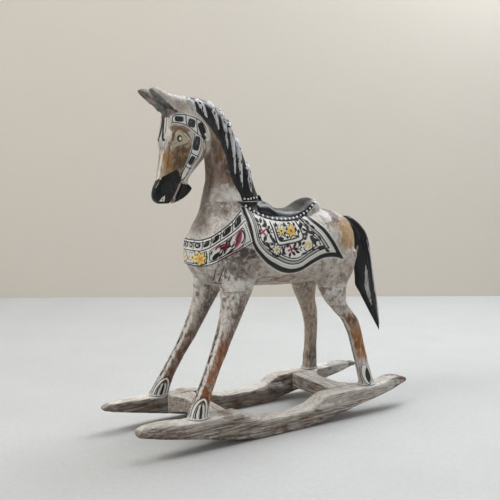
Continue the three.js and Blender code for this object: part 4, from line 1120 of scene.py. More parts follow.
# ------------------------------------------------------------------ legs
def make_leg(name, node, rows, side, seam, lo, hi):
    V, Q = build_leg(rows, side, seam, lo, hi)
    hind = rows is HINDLEG
    cx0, cy0 = pchip(rows, 1), pchip(rows, 2)
    lead = pchip(rows, 5) if hind else (lambda q: 0.0 * q)

    def centre(z):
        return cx0(z) - side * lead(z), side * cy0(z)

    def cut(P, N):
        z = P[:, 2]
        flush = np.maximum(1 - smooth(0, 1.2, seam - GAP - z), 1 - smooth(0, 0.8, z - SEAM['foot'] - GAP))
        d = knife(P, 5.0, 0.26, 51 + 3 * side + 7 * hind, (1, 1, 2.6)) + 0.06 * fbm(P, (1.0, 1.0, 4.0), 8, 3)
        return d * (1 - flush)
    V = carve(V, Q, cut)
    p = Paint(V, Q, WASH, 60 + 5 * side + 9 * hind)
    P = p.V
    x, y, z = P.T
    cx, cy = centre(z)
    a, b = pchip(rows, 3)(z), pchip(rows, 4)(z)
    fx = (x - cx) / a                                # -1 front .. +1 rear
    fy = (y - cy) / b * side                         # +1 outward
    fx = fx * 0.85 - (y - cy) / b * 0.53             # across the leg as it is seen from the front left
    cur = curvature(P, Q, 6)
    # painted shade: darker in the hollows and creases
    p.dirt += smooth(0.03, 0.16, -cur) * 0.5
    g = fbm(P, (1.0, 1.0, 7.0), 61 + side, 3)
    g2 = fbm(P, (2.4, 2.4, 2.4), 71 + side, 3)
    up = smooth(60, 84, z)
    p.lay(up * smooth(-0.25, 0.35, g2) * 0.60, lin(122, 98, 84))
    p.lay((1 - up) * 0.35, lin(160, 142, 124))
    if not hind:
        o = smooth(-0.34, -0.14, fx + 0.20 * g) * (1 - smooth(54, 67, z + 8 * g)) * smooth(20.5, 25, z)
        p.lay(o * 0.97, lin(146, 88, 41) if side < 0 else lin(112, 80, 54))
        p.lay(o * smooth(0.05, 0.4, g) * 0.65, lin(96, 60, 36))
        if side > 0:
            p.lay(smooth(0.0, 0.3, fx + 0.3 * g) * smooth(66, 74, z) * 0.75, lin(96, 74, 58))
        wh = (1 - smooth(0.13, 0.22, np.abs(fx + 0.50 + 0.20 * g))) * (1 - smooth(64, 74, z)) * smooth(22, 28, z)
        p.lay(wh * 0.9, lin(224, 219, 211))
        bk = (1 - smooth(0.10, 0.17, np.abs(fx + 0.80 + 0.10 * g))) * smooth(-0.32, -0.12, g2) * (1 - smooth(60, 72, z)) * smooth(26, 31, z)
        p.lay(bk * 0.94, lin(34, 27, 26))
        rr = smooth(0.30, 0.60, fx + 0.3 * g) * smooth(54, 62, z) * (1 - smooth(80, 88, z))
        p.lay(rr * 0.75, lin(92, 70, 58))
        top_ = smooth(0.1, 0.4, g2) * smooth(66, 72, z) * (1 - smooth(80, 85, z))
        p.lay(top_ * 0.7, lin(96, 78, 68))
    else:
        if side < 0:
            o = smooth(-0.60, -0.40, fx + 0.22 * g) * smooth(33.5, 36.5, z) * (1 - smooth(61, 67, z + 4 * g))
            p.lay(o * 0.97, lin(164, 106, 54))
            p.lay(o * smooth(54, 60, z) * 0.85, lin(84, 54, 34))
            p.lay(o * smooth(0.1, 0.4, g) * 0.4, lin(124, 78, 42))
            p.lay((1 - smooth(0.05, 0.16, np.abs(fx + 0.86 + 0.10 * g))) * smooth(24, 30, z) * (1 - smooth(60, 70, z)) * 0.7, lin(92, 84, 76))
            p.lay((1 - smooth(0.10, 0.2, np.abs(fx + 0.68 + 0.08 * g))) * (1 - smooth(60, 76, z)) * 0.7, lin(206, 199, 188))
            p.lay(smooth(-0.1, 0.25, g2) * smooth(66, 70, z) * 0.6, lin(118, 98, 84))
        else:
            p.lay(0.70 + 0 * z, lin(172, 152, 132))
            p.lay(smooth(0.1, 0.4, g) * 0.5, lin(136, 112, 92))
            # painted shade: the lower far hind leg turns dark olive towards the foot
            p.lay((1 - smooth(24, 44, z)) * smooth(-0.3, 0.3, fx + g) * 0.85, lin(74, 66, 50))
    if side > 0:
        ox = (x - cx) / a * 0.85 + fy * 0.53
        face = smooth(0.05, 0.35, fy)
        if hind:
            o = smooth(-0.60, -0.40, ox + 0.22 * g) * smooth(33.5, 36.5, z) * (1 - smooth(61, 67, z + 4 * g)) * face
            p.lay(o * 0.97, lin(164, 106, 54))
            p.lay(o * smooth(54, 60, z) * 0.85, lin(84, 54, 34))
        else:
            o = smooth(-0.34, -0.14, ox + 0.25 * g) * (1 - smooth(48, 62, z + 8 * g)) * smooth(20.5, 25, z) * face
            p.lay(o * 0.97, lin(158, 98, 46))
            p.lay(o * smooth(0.05, 0.4, g) * 0.65, lin(96, 60, 36))
    g3 = fbm(P, (0.9, 0.9, 1.8), 81 + side, 3)
    p.lay(up * smooth(0.18, 0.42, g3) * 0.65, lin(96, 76, 66))
    p.lay(up * smooth(0.22, 0.46, -g3) * 0.55, lin(222, 216, 209))
    p.lay(smooth(0.10, 0.34, fbm(P, (0.8, 0.8, 9.0), 91 + side, 3)) * (1 - up) * 0.55, lin(90, 62, 44))
    p.wear += 0.12 * smooth(0.1, 0.4, g)
    # hoof: pale, with a painted outline and stripes
    f0x, f0y = cx0(18.5) - side * lead(18.5), side * cy0(18.5)
    hoof = 1 - smooth(25.0, 27.0, z + 0.9 * (np.abs(fx)))
    # painted shade: on the far hind leg the hoof stays pale only on its outer side, darker on the inner side
    pale = np.where(hind & (side > 0), 0.25 + 0.65 * smooth(0.05, 0.35, fy), 0.9)
    p.lay(hoof * pale, lin(206, 203, 196))
    pad = 1 - smooth(18.6, 19.6, z)
    p.lay(pad * 0.8, WHITE)
    mat = LEG_MATERIAL
    return p.finish(name, [node], mat), centre


# ------------------------------------------------------------------ tail
def make_tail():
    V, Q = build_tail()
    V = carve(V, Q, lambda P, N: 0.05 * fbm(P, (0.8, 0.8, 6.0), 4, 3))
    p = Paint(V, Q, BLACK, 80)
    P = p.V
    x, y, z = P.T
    p.gloss[:] = 0.8
    p.wear[:] = -0.75
    f = [pchip(TAIL, c) for c in (1, 2)]
    zz = np.clip(z, 43.5, 126.5)
    fr, re = f[0](zz), f[1](zz)
    u = (x - fr) / np.maximum(re - fr, 0.4)
    g = fbm(P, (0.7, 0.7, 7.0), 5, 3)
    # two long brushed leaves of grey-white
    q1 = np.clip((z - 64) / 29, 0, 1)
    c1 = fr + (0.33 + 0.11 * smooth(66, 82, z)) * (re - fr)
    l1 = (1 - smooth(-0.12, 0.16, np.abs(x - c1) - 1.45 * np.sin(np.pi * q1) ** 0.7 + 0.5 * g)) * (z > 64) * (z < 93)
    q2 = np.clip((z - 50) / 60, 0, 1)
    c2 = fr + (0.72 + 0.13 * smooth(52, 68, z) - 0.05 * smooth(95, 108, z)) * (re - fr)
    l2 = (1 - smooth(-0.12, 0.16, np.abs(x - c2) - 0.95 * np.sin(np.pi * q2) ** 0.6 + 0.4 * g)) * (z > 50) * (z < 110)
    tone = smooth(-0.3, 0.5, g)[:, None]
    col = lin(196, 197, 198) * (1 - tone) + lin(122, 124, 126) * tone
    m = np.clip(np.maximum(l1, l2) * 0.9, 0, 1)[:, None]
    p.col = p.col * (1 - m) + col * m
    # painted highlight: bluish white on the front of the tail root
    root = smooth(118.5, 122, z + 1.2 * g)
    p.lay(root * (1 - smooth(0.25, 0.5, u)) * 0.8, lin(206, 210, 216))
    p.dab((73.0, None, 104.0), (1.0, 9, 2.0), lin(150, 152, 154), 0.8, 0.3)
    p.dab((69.5, None, 107.0), (0.9, 9, 1.2), lin(170, 172, 170), 0.7, 0.3)
    return p.finish("carved_tail", ["tail"], painted_wood("painted_tail", (1.0, 1.0, 3.5), rough=(0.26, 0.44), chalky=0.02, scratch=0.15, bump=0.6))


# ------------------------------------------------------------------ base
def base_paint(p, along, seed, level=None):
    """level: 0 at the bottom edge .. 1 at the top edge of the piece."""
    P, N = p.V, p.N
    x, y, z = P.T
    if along == 'x':
        st, fine, line = (16.0, 0.9, 0.9), (9.0, 0.42, 0.42), (12.0, 0.6, 0.6)
    else:
        st, fine, line = (0.9, 16.0, 0.9), (0.42, 9.0, 0.42), (0.6, 12.0, 0.6)
    g = fbm(P, st, seed, 4)
    g2 = fbm(P, (6.0, 3.0, 3.0), seed + 3, 3)
    g3 = noise(P, fine, seed + 5)
    p.col[:] = lin(170, 158, 147)
    p.lay(smooth(-0.05, 0.30, g) * 0.8, lin(104, 86, 73))
    p.lay(smooth(0.10, 0.40, -g) * 0.75, lin(206, 199, 190))
    p.lay(smooth(0.05, 0.45, g2) * 0.55, lin(96, 77, 64))
    if level is not None:
        p.lay((1 - smooth(0.05, 0.42, level + 0.16 * g2)) * 0.62, lin(74, 58, 47))
        p.lay(smooth(0.66, 0.90, level + 0.30 * g) * 0.55, lin(214, 208, 199))
    p.lay(smooth(0.36, 0.56, g3) * 0.80, lin(54, 43, 36))
    p.lay(smooth(0.40, 0.58, -g3) * 0.75, lin(228, 223, 216))
    top = smooth(0.45, 0.85, N[:, 2] + 0.20 * g2)
    p.lay(top * 0.88, lin(222, 217, 209))
    p.lay(top * smooth(0.12, 0.38, g) * 0.6, lin(138, 124, 112))
    cur = curvature(P, p.Q, 10)
    p.lay(smooth(0.08, 0.26, cur + 0.06 * g2) * (N[:, 2] > -0.1) * 0.7, lin(226, 222, 214))
    # painted shade: faces turned downward are darker
    p.dirt += smooth(0.3, 0.9, -N[:, 2]) * 0.55
    # dirt streaks along the grain
    p.dirt += smooth(0.40, 0.75, fbm(P, line, seed + 7, 2)) * 0.6
    p.wear += 0.1
    return g, g2, top


def make_rocker(name, node, side):
    V, Q = build_rocker(side)

    def cut(P, N):
        d = knife(P, 8.0, 0.42, 90 + side, (2.6, 0.7, 0.7)) + 0.10 * fbm(P, (9.0, 0.8, 0.8), 6 + side, 3)
        d = d - 0.30 * smooth(0.42, 0.62, fbm(P, (10.0, 0.7, 0.7), 44 + side, 2))
        low = 1 - smooth(0.0, 1.0, P[:, 2])
        d = d * (1 - low)
        inner = smooth(0.0, 1.2, np.abs(P[:, 1] - side * 21.0))
        keep = ((np.abs(P[:, 0] + 48) < 12) | (np.abs(P[:, 0] - 48) < 13)) & (inner < 1)
        return np.where(keep, d * inner, d)
    V = carve(V, Q, cut)
    p = Paint(V, Q, WASH2, 90 + side)
    x, y, z = p.V.T
    zb, zt = rocker_bottom(x), rocker_top(side)(x)
    g, g2, top = base_paint(p, 'x', 100 + side, (z - zb) / (zt - zb))
    # painted shade: the inner face is darker, with darker mottling
    inner = smooth(0.4, 0.8, -side * p.N[:, 1])
    p.lay(inner * 0.6, lin(88, 72, 60))
    p.lay(inner * smooth(0.0, 0.4, g2) * 0.5, lin(54, 44, 36))
    p.dab((91.0, None, 19.6), (8.0, 1, 2.2), lin(122, 102, 92), 0.85, 0.5)
    p.dab((91.0, None, 18.6), (5.0, 1, 0.9), lin(126, 84, 80), 0.8, 0.4)
    p.dab((97.0, None, 17.0), (3.0, 1, 3.4), lin(84, 84, 78), 0.75, 0.5)
    # painted shade: the far runner's rear end is darkened olive-grey
    if side > 0:
        p.lay(smooth(66, 78, x) * 0.92, lin(98, 94, 86))
    p.dab((-96.0, None, 15.5), (4.0, 1, 3.4), lin(104, 92, 82), 0.6, 0.5)
    p.dab((-80.0, None, 12.0), (12.0, 1, 3.0), lin(112, 92, 78), 0.5, 0.6)
    p.dab((5.0, None, 5.0), (26.0, 1, 5.0), lin(112, 88, 74), 0.45, 0.8, grain=(9, 1, 1))
    p.dab((78.0, None, 17.0), (8.0, 1, 3.0), CHALK, 0.6, 0.7)
    p.dab((58.0, None, 12.5), (24.0, 1, 5.0), lin(196, 190, 182), 0.6, 0.7, grain=(7, 1, 1))
    p.dab((-62.0, None, 18.4), (14.0, 1, 1.6), lin(232, 230, 225), 0.95, 0.5, wear=-0.4)
    p.dab((58.0, None, 18.4), (16.0, 1, 1.6), lin(230, 228, 222), 0.9, 0.5, wear=-0.4)
    p.dab((8.0, None, 11.6), (26.0, 1, 1.6), lin(226, 222, 214), 0.85, 0.6, wear=-0.3)
    p.dab((-44.0, None, 17.0), (4.0, 1, 1.4), lin(130, 90, 62), 0.55, 0.6)
    return p.finish(name, [node], BASE_MATERIAL)


def make_crossbar(name, node, front):
    V, Q = build_crossbar(front)

    def cut(P, N):
        ends = smooth(0.0, 1.5, 20.7 - np.abs(P[:, 1]))
        return ends * (knife(P, 6.0, 0.36, 120 + front, (0.8, 2.4, 0.8)) + 0.09 * fbm(P, (0.8, 8.0, 0.8), 6, 3))
    V = carve(V, Q, cut)
    p = Paint(V, Q, WASH2, 120 + front)
    base_paint(p, 'y', 130 + front)
    x, y, z = p.V.T
    if front:
        p.dab((-54.0, None, 12.0), (3.0, 1, 5.0), lin(170, 156, 142), 0.7, 0.6)
    p.dab((44.0, 0.0, 17.5), (9.0, 9.0, 2.5), lin(182, 174, 166), 0.6, 0.7)
    return p.finish(name, [node], BASE_MATERIAL_Y)


# ------------------------------------------------------------------ build the pieces
LEG_MATERIAL = painted_wood("painted_legs", (1.0, 1.0, 4.5), chalky=0.55, scratch=0.62)
BASE_MATERIAL = painted_wood("weathered_runners", (14.0, 0.9, 0.9), rough=(0.60, 0.82), chalky=0.55, scratch=0.75, bump=0.9, blot=(13.0, 1.1, 1.1))
BASE_MATERIAL_Y = painted_wood("weathered_crossbars", (0.9, 14.0, 0.9), rough=(0.60, 0.82), chalky=0.55, scratch=0.75, bump=0.9, blot=(1.1, 13.0, 1.1))

TRUNK_OB = make_trunk()
HEAD_OB = make_head()
FORE_L, C_FL = make_leg("left_foreleg_painted", "left_foreleg", FORELEG, -1, SEAM['foreleg'], (-70.0, -34.5, 16.5), (-14.5, -6.0, 88.0))
FORE_R, C_FR = make_leg("right_foreleg_painted", "right_foreleg", FORELEG, 1, SEAM['foreleg'], (-70.0, 6.0, 16.5), (-14.5, 34.5, 88.0))
HIND_L, C_HL = make_leg("left_hindleg_painted", "left_hindleg", HINDLEG, -1, SEAM['hindleg'], (28.0, -34.5, 16.5), (73.0, -4.0, 85.0))
HIND_R, C_HR = make_leg("right_hindleg_painted", "right_hindleg", HINDLEG, 1, SEAM['hindleg'], (28.0, 4.0, 16.5), (73.0, 34.5, 85.0))
TAIL_OB = make_tail()
ROCK_L = make_rocker("left_rocker_worn", "left_rocker", -1)
ROCK_R = make_rocker("right_rocker_worn", "right_rocker", 1)
BAR_F = make_crossbar("front_crossbar_worn", "front_crossbar", 1)
BAR_R = make_crossbar("rear_crossbar_worn", "rear_crossbar", 0)

# ------------------------------------------------------------------ brushed ornament, laid on the surface as thin paint
class Chart:
    """Takes flat coordinates (mm) to the carved surface."""
    def __init__(self, ob, kind, side=-1, centre=None):
        me = ob.data
        V = np.empty(len(me.vertices) * 3, np.float32)
        me.vertices.foreach_get("co", V)
        V = V.reshape(-1, 3) / MM
        key = ob.name
        if key not in Chart.trees:
            Chart.trees[key] = BVHTree.FromPolygons(V.tolist(), [tuple(p.vertices) for p in me.polygons])
        self.tree, self.kind, self.side, self.centre = Chart.trees[key], kind, side, centre
        self.m = np.array([1.0, 1.0])
        if kind == 'collar':
            self.m = np.array([1.0, 10.0])
            ph = np.radians(np.arange(-100, 101, 2.0))
            pts = [self.radial(a, 110.0) for a in ph]
            pts = [np.array(p[0]) if p else None for p in pts]
            ok = [i for i, p in enumerate(pts) if p is not None]
            P = np.array([pts[i] for i in ok])
            s = np.concatenate([[0], np.cumsum(np.hypot(*np.diff(P[:, :2], axis=0).T))])
            a = ph[ok]
            s = s - np.interp(0.0, a, s)
            self.s, self.a = s, a

    def ray(self, o, d):
        r = self.tree.ray_cast(Vector(o), Vector(d).normalized(), 140.0)
        if r[0] is None:
            return None
        q = -1.0 if r[1].dot(Vector(d)) > 0 else 1.0
        return np.array(r[0]), q * np.array(r[1])

    def radial(self, a, z):
        d = Vector((-math.cos(a), self.side * math.sin(a), 0.0))
        return self.ray(Vector((-22.0, 0, z)) + d * 60.0, -d)

    def at(self, u, v):
        if self.kind == 'side':
            return self.ray((u, self.side * 60.0, v), (0, -self.side, 0))
        if self.kind == 'front':
            return self.ray((-130.0, u * -self.side, v), (1, 0, 0))
        if self.kind == 'top':
            return self.ray((u, v * -self.side, 260.0), (0, 0, -1))
        if self.kind == 'leg':
            cx, cy = self.centre(v)
            a = u / 4.9
            d = Vector((-math.sin(a), self.side * math.cos(a), 0))
            return self.ray(Vector((float(cx), float(cy), v)) + d * 25.0, -d)
        a = float(np.interp(u, self.s, self.a))
        z = 108.0
        r = None
        for _ in range(4):
            r = self.radial(a, z)
            if r is None:
                return None
            x = r[0][0]
            lo, mid, up = float(CL(x)), float(CM(x)), float(CU(x))
            z = lo + v * (mid - lo) if v <= 1 else mid + (v - 1) * (up - mid)
        return r


Chart.trees = {}


class Pot:
    """One colour of paint on one part of the horse."""
    def __init__(self, name, material, slot, lift):
        self.name, self.material, self.slot, self.lift = name, material, slot, lift
        self.V, self.F, self.n = [], [], 0

    def add(self, V, F):
        V, F = np.array(V), np.array(F)
        a, b, c = V[F[:, 0]], V[F[:, 1]], V[F[:, 2]]
        mid = V.mean(0)
        if np.einsum('ij,ij->i', a - mid, np.cross(b - mid, c - mid)).sum() < 0:
            F = F[:, ::-1]
        self.V.append(V)
        self.F.append(F + self.n)
        self.n += len(V)

    def make(self):
        if not self.V:
            return None
        ob = new_mesh(self.name, np.vstack(self.V), np.vstack(self.F))
        ob.data.materials.append(self.material)
        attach(ob, "root")
        return ob


def stroke(pot, ch, pts, width, ends=(0.5, 0.5), lift=None, step=0.42, closed=False, cols=None, seed=0, wob=0.10):
    """A brush line through pts; width in mm (one number, or one per point); ends: how much each end thins (0..1)."""
    lift = pot.lift if lift is None else lift
    P = np.array(pts, float) * ch.m
    if closed:
        P = np.vstack([P, P[:1]])
    W = np.full(len(P), float(width)) if np.isscalar(width) else np.array(list(width) + ([width[0]] if closed else []), float)
    C = crom(np.column_stack([P, W]), step)
    P, W = C[:, :2], C[:, 2]
    if closed:
        P, W = P[:-1], W[:-1]
    n = len(P)
    if n < 3:
        return
    T = (np.roll(P, -1, 0) - np.roll(P, 1, 0)) if closed else np.gradient(P, axis=0)
    T /= np.linalg.norm(T, axis=1, keepdims=True) + 1e-9
    Nn = np.stack([-T[:, 1], T[:, 0]], 1)
    s = np.linspace(0, 1, n)
    L = np.column_stack([P, np.full(n, 3.7 * seed)])
    W = W * (1 + wob * noise(L, 2.3, seed + 1))
    if not closed:
        W = W * (1 - ends[0] * (1 - np.clip(s / 0.22, 0, 1)) ** 2) * (1 - ends[1] * (1 - np.clip((1 - s) / 0.22, 0, 1)) ** 2)
    P = P + Nn * (wob * 0.5 * noise(L, 4.0, seed + 9))[:, None]
    k = cols or max(5, 2 * int(W.max() / 1.3) + 3)
    us = np.linspace(-1, 1, k)
    rings, runs = [], []
    for i in range(n):
        ring = []
        for u in us:
            q = (P[i] + Nn[i] * u * W[i] * 0.5) / ch.m
            r = ch.at(q[0], q[1])
            if r is None:
                ring = None
                break
            prof = lift * (1 - 0.70 * abs(u) ** 4)
            ring.append(r[0] + r[1] * prof)
            if u in (us[0], us[-1]):
                ring.append(r[0] - r[1] * 0.28)
        if ring is not None:
            if rings and np.abs(np.array(ring) - np.array(rings[-1])).max() > 3.0:
                runs.append(rings)
                rings = []
            ring = [ring[1]] + [ring[0]] + ring[2:]      # low start, surface ..., low end
            rings.append(ring)
        elif rings:
            runs.append(rings)
            rings = []
    runs.append(rings)
    for rings in runs:
        m = len(rings)
        if m < 3:
            continue
        k2 = len(rings[0])
        V = [v for r in rings for v in r]
        F = []
        full = closed and m == n
        for i in range(m if full else m - 1):
            a, b = i * k2, ((i + 1) % m) * k2
            for j in range(k2):
                j2 = (j + 1) % k2
                F.append((a + j, b + j, b + j2))
                F.append((a + j, b + j2, a + j2))
        if not full:
            for e in (0, m - 1):
                c = len(V)
                V.append(np.mean(rings[e], axis=0))
                for j in range(k2):
                    j2 = (j + 1) % k2
                    F.append((c, e * k2 + j, e * k2 + j2) if e == 0 else (c, e * k2 + j2, e * k2 + j))
        pot.add(V, F)


def patch(pot, ch, centre, outline, rot=0.0, lift=None, dome=0.0, size=1.0, flip=1):
    """A filled shape; outline in mm about its own centre."""
    lift = pot.lift if lift is None else lift
    O = np.array(outline, float) * size
    O[:, 0] *= flip
    a = math.radians(rot) * flip
    O = O @ np.array([[math.cos(a), math.sin(a)], [-math.sin(a), math.cos(a)]])
    big = np.abs(O).max()
    nr = max(2, int(big / 0.55))
    fr = list(np.linspace(0, 1, nr + 1)[1:-1]) + [0.90, 1.0]
    c = np.array(centre, float)
    r0 = ch.at(*c)
    if r0 is None:
        return
    V, F = [r0[0] + r0[1] * (lift + dome)], []
    K = len(O)
    low = []
    for f in fr:
        for o in O:
            q = c + o * f / ch.m
            r = ch.at(q[0], q[1])
            if r is None or np.linalg.norm(r[0] - r0[0]) > 3.0 * big + 2:
                return
            h = (lift + dome * math.sqrt(max(0.0, 1 - f * f))) * (1.0 if f < 0.95 else 0.35)
            V.append(r[0] + r[1] * h)
            if f == 1.0:
                low.append(r[0] - r[1] * 0.28)
    V += low + [r0[0] - r0[1] * 0.28]
    R = len(fr)
    for j in range(K):
        j2 = (j + 1) % K
        F.append((0, 1 + j, 1 + j2))
        for i in range(R):
            a0, b0 = 1 + i * K, 1 + (i + 1) * K
            F.append((a0 + j, b0 + j, b0 + j2))
            F.append((a0 + j, b0 + j2, a0 + j2))
        b0 = 1 + R * K
        F.append((b0 + j, len(V) - 1, b0 + j2))
    pot.add(V, F)


def disc(rx, ry=None, k=18):
    ry = ry or rx
    t = np.linspace(0, 2 * np.pi, k, endpoint=False)
    return np.stack([rx * np.cos(t), ry * np.sin(t)], 1)


def box(w, h, k=28, p=4.0):
    t = np.linspace(0, 2 * np.pi, k, endpoint=False)
    return np.stack([0.5 * w * pw(np.cos(t), 2 / p), 0.5 * h * pw(np.sin(t), 2 / p)], 1)


def leaf(l, w, bend=0.0, k=24):
    """Pointed at both ends, lying along x."""
    t = np.linspace(0, 1, k // 2 + 1)
    up = np.stack([-0.5 * l + l * t, 0.5 * w * np.sin(np.pi * t) ** 0.9 + bend * np.sin(np.pi * t)], 1)
    dn = np.stack([-0.5 * l + l * t, -0.5 * w * np.sin(np.pi * t) ** 0.9 + bend * np.sin(np.pi * t)], 1)[::-1][1:-1]
    return np.vstack([up, dn])


LEAF = leaf


def flower(pot, ch, at, r, n=5, turn=0.0, heart=None, wide=0.62, flip=1, lift=None, rim=None):
    if rim is not None:
        flower(rim, ch, at, r + 0.55, n, turn, None, (r * wide + 0.6) / (r + 0.55), flip, lift=0.125)
    for i in range(n):
        a = turn + 360.0 * i / n
        o = np.array([math.cos(math.radians(a)), math.sin(math.radians(a))]) * r * 0.55
        o[0] *= flip
        patch(pot, ch, np.array(at) + o / ch.m, leaf(r * 1.05, r * wide), a, flip=flip, lift=lift)
    if heart is not None:
        patch(heart, ch, at, disc(r * 0.24, k=12))


def cross_flower(pot, ch, at, r, turn=0.0, flip=1):
    """Four strokes meeting in the middle."""
    for i in range(4):
        a = turn + 90.0 * i
        o = np.array([math.cos(math.radians(a)), math.sin(math.radians(a))]) * r * 0.5
        o[0] *= flip
        patch(pot, ch, np.array(at) + o / ch.m, leaf(r * 1.15, r * 0.42), a, flip=flip)


def curl(pot, ch, at, r, a0, a1, w, flip=1, ends=(0.2, 0.8), grow=0.55):
    t = np.linspace(0, 1, 9)
    ang = np.radians(a0 + (a1 - a0) * t)
    rr = r * (1 - grow * t)
    P = np.array(at) * ch.m + np.stack([rr * np.cos(ang) * flip, rr * np.sin(ang)], 1)
    stroke(pot, ch, P / ch.m, w, ends)


M_BLACK = enamel("black_brush_paint", BLACK, 0.32, 0.10, 0.28, lin(120, 112, 104))
M_WHITE = enamel("white_brush_paint", WHITE, 0.50, 0.25, 0.30, lin(150, 144, 136))
M_RED = enamel("red_brush_paint", RED, 0.40, 0.25, 0.25, lin(150, 120, 112))
M_YELLOW = enamel("yellow_brush_paint", YELLOW, 0.42, 0.30, 0.25, WHITE)
M_ORANGE = enamel("orange_brush_paint", lin(206, 140, 44), 0.42, 0.30, 0.2, WHITE)
M_LAVENDER = enamel("lavender_brush_paint", lin(170, 160, 172), 0.45, 0.30, 0.2, WHITE)
M_BEIGE = enamel("beige_brush_paint", lin(188, 176, 146), 0.50, 0.25, 0.25, lin(150, 130, 104))
M_BROWN = enamel("brown_brush_paint", lin(112, 76, 52), 0.50, 0.25, 0.3, WASH2)
M_GREY = enamel("grey_brush_paint", lin(84, 78, 72), 0.50, 0.25, 0.5, WASH2)

POTS = {}
for part, slot in (("body", "whitewashed_body"), ("head", "whitewashed_brown_head"), ("hooves", "whitewashed_leg_wood")):
    for nm, mt, lf in (("beige", M_BEIGE, 0.07), ("white", M_WHITE, 0.10), ("brown", M_BROWN, 0.10), ("grey", M_GREY, 0.10),
                       ("lavender", M_LAVENDER, 0.11), ("yellow", M_YELLOW, 0.15), ("orange", M_ORANGE, 0.19), ("red", M_RED, 0.16), ("black", M_BLACK, 0.19), ("dots", M_WHITE, 0.26)):
        POTS[part, nm] = Pot("%s_%s_paint" % (part, nm), mt, slot, lf)


def blanket_motifs(side):
    def leaf(l, w, bend=0.0):
        return LEAF(l * 1.35, w * 1.85, bend)
    ch = Chart(TRUNK_OB, 'side', side)
    k, w, r, y = (POTS['body', c] for c in ('black', 'white', 'red', 'yellow'))
    d, v = POTS['body', 'dots'], POTS['body', 'lavender']
    sd = 3 if side < 0 else 40
    # middle panel, open at the top under the saddle
    stroke(k, ch, [(-5.4, 125.2), (-4.9, 121), (-4.2, 116.5), (-3.4, 112.6), (-1.5, 111.2), (4.0, 111.6), (11.0, 112.4), (15.0, 113.6), (16.1, 115.8), (15.2, 120.0), (13.6, 125.2)], 1.0, (0.1, 0.1), seed=sd)
    stroke(k, ch, [(-3.2, 124.0), (-2.8, 119.5), (-1.9, 115.2), (0.0, 113.6), (5.4, 114.0), (11.0, 115.0), (12.9, 117.2), (12.2, 120.6), (11.0, 124.6)], [0.7, 0.9, 1.3, 1.2, 0.8, 0.9, 0.9, 0.6, 0.6], (0.2, 0.2), seed=sd + 2)
    flower(w, ch, (1.0, 119.6), 3.7, 6, 0, None, 0.5, lift=0.145, rim=k)
    flower(y, ch, (0.9, 119.4), 2.8, 5, 20, k, lift=0.165)
    flower(y, ch, (8.0, 119.2), 3.9, 6, 12, k, 0.60, lift=0.165, rim=k)
    flower(POTS['body', 'orange'], ch, (8.0, 119.2), 2.0, 5, 40, k)
    for q, e, a in (((4.5, 123.0), (2.4, 1.0), 80), ((4.6, 115.6), (1.6, 1.0), 10), ((11.6, 123.0), (2.0, 0.9), 60), ((-1.8, 123.2), (2.2, 0.9), 70),
                    ((12.0, 115.9), (2.4, 0.9), -30), ((0.2, 115.0), (2.8, 1.0), -10), ((8.0, 123.8), (1.8, 0.7), 10)):
        patch(k, ch, q, leaf(*e), a)
    for q, a in (((4.5, 121.2), 95), ((-1.2, 116.4), 20), ((11.4, 116.8), -20), ((1.6, 123.8), 0)):
        patch(d, ch, q, LEAF(1.9, 0.8), a)
    # front column
    cross_flower(r, ch, (-12.4, 119.5), 2.7, 30)
    patch(k, ch, (-12.4, 119.5), disc(0.5, k=10))
    patch(k, ch, (-6.3, 114.9), box(6.2, 2.1), -60)
    for q, e, a in (((-9.9, 123.4), (3.2, 1.5), 25), ((-13.9, 123.2), (3.0, 1.2), -50), ((-8.6, 119.6), (3.6, 1.1), -65), ((-11.8, 115.6), (3.0, 1.2), 60),
                    ((-10.4, 112.0), (3.2, 1.2), -48), ((-8.8, 109.4), (2.4, 1.0), -40), ((-12.9, 113.0), (2.6, 0.9), -60)):
        patch(k, ch, q, leaf(*e), a)
    for q, e, a in (((-9.0, 122.0), (2.4, 1.2), 50), ((-10.4, 117.2), (2.2, 1.0), 40), ((-12.6, 110.8), (2.4, 1.0), -50), ((-8.6, 112.2), (2.2, 1.0), -50)):
        patch(v, ch, q, leaf(*e), a)
    curl(k, ch, (-15.0, 117.2), 1.7, 60, 330, 0.55)
    for q, a in (((-10.8, 124.0), 40), ((-6.2, 116.2), -60), ((-14.2, 122.4), 110)):
        patch(d, ch, q, LEAF(2.0, 0.6), a)
    # lower row
    flower(w, ch, (-4.2, 108.5), 3.1, 7, 10, None, 0.6, lift=0.145, rim=k)
    flower(y, ch, (-4.0, 108.5), 1.9, 5, 10, k, lift=0.17)
    patch(k, ch, (-4.2, 104.9), leaf(3.4, 0.9), -12)
    patch(k, ch, (1.1, 108.1), [(-2.4, 2.4), (0.0, 2.1), (2.4, 3.0), (0.8, 1.2), (0.6, -1.2), (2.1, -3.1), (0.2, -2.7), (-1.7, -2.9), (-1.1, -0.8), (-1.2, 1.2)])
    patch(d, ch, (1.0, 109.9), LEAF(1.6, 0.5), 70)
    cross_flower(r, ch, (6.6, 108.3), 3.0, 20)
    patch(k, ch, (6.6, 108.3), disc(0.6, k=10))
    for q, e, a in (((4.2, 110.6), (2.2, 1.1), 50), ((9.4, 110.6), (3.0, 1.0), 50), ((9.9, 108.2), (2.6, 1.2), -5), ((8.6, 105.6), (2.6, 1.0), -50), ((5.6, 105.0), (2.4, 1.0), 80)):
        patch(k, ch, q, leaf(*e), a)
    patch(k, ch, (13.2, 111.5), disc(1.25, 1.35, 16))
    curl(k, ch, (14.0, 107.8), 1.2, 60, 300, 0.6)
    curl(k, ch, (19.3, 109.8), 3.6, 190, 400, 0.65, grow=0.15)
    curl(w, ch, (19.2, 109.9), 2.9, 200, -120, 1.2)
    curl(y, ch, (19.2, 109.8), 2.0, 210, -100, 1.7, grow=0.5)
    patch(k, ch, (16.4, 105.2), leaf(3.6, 0.8), 10)
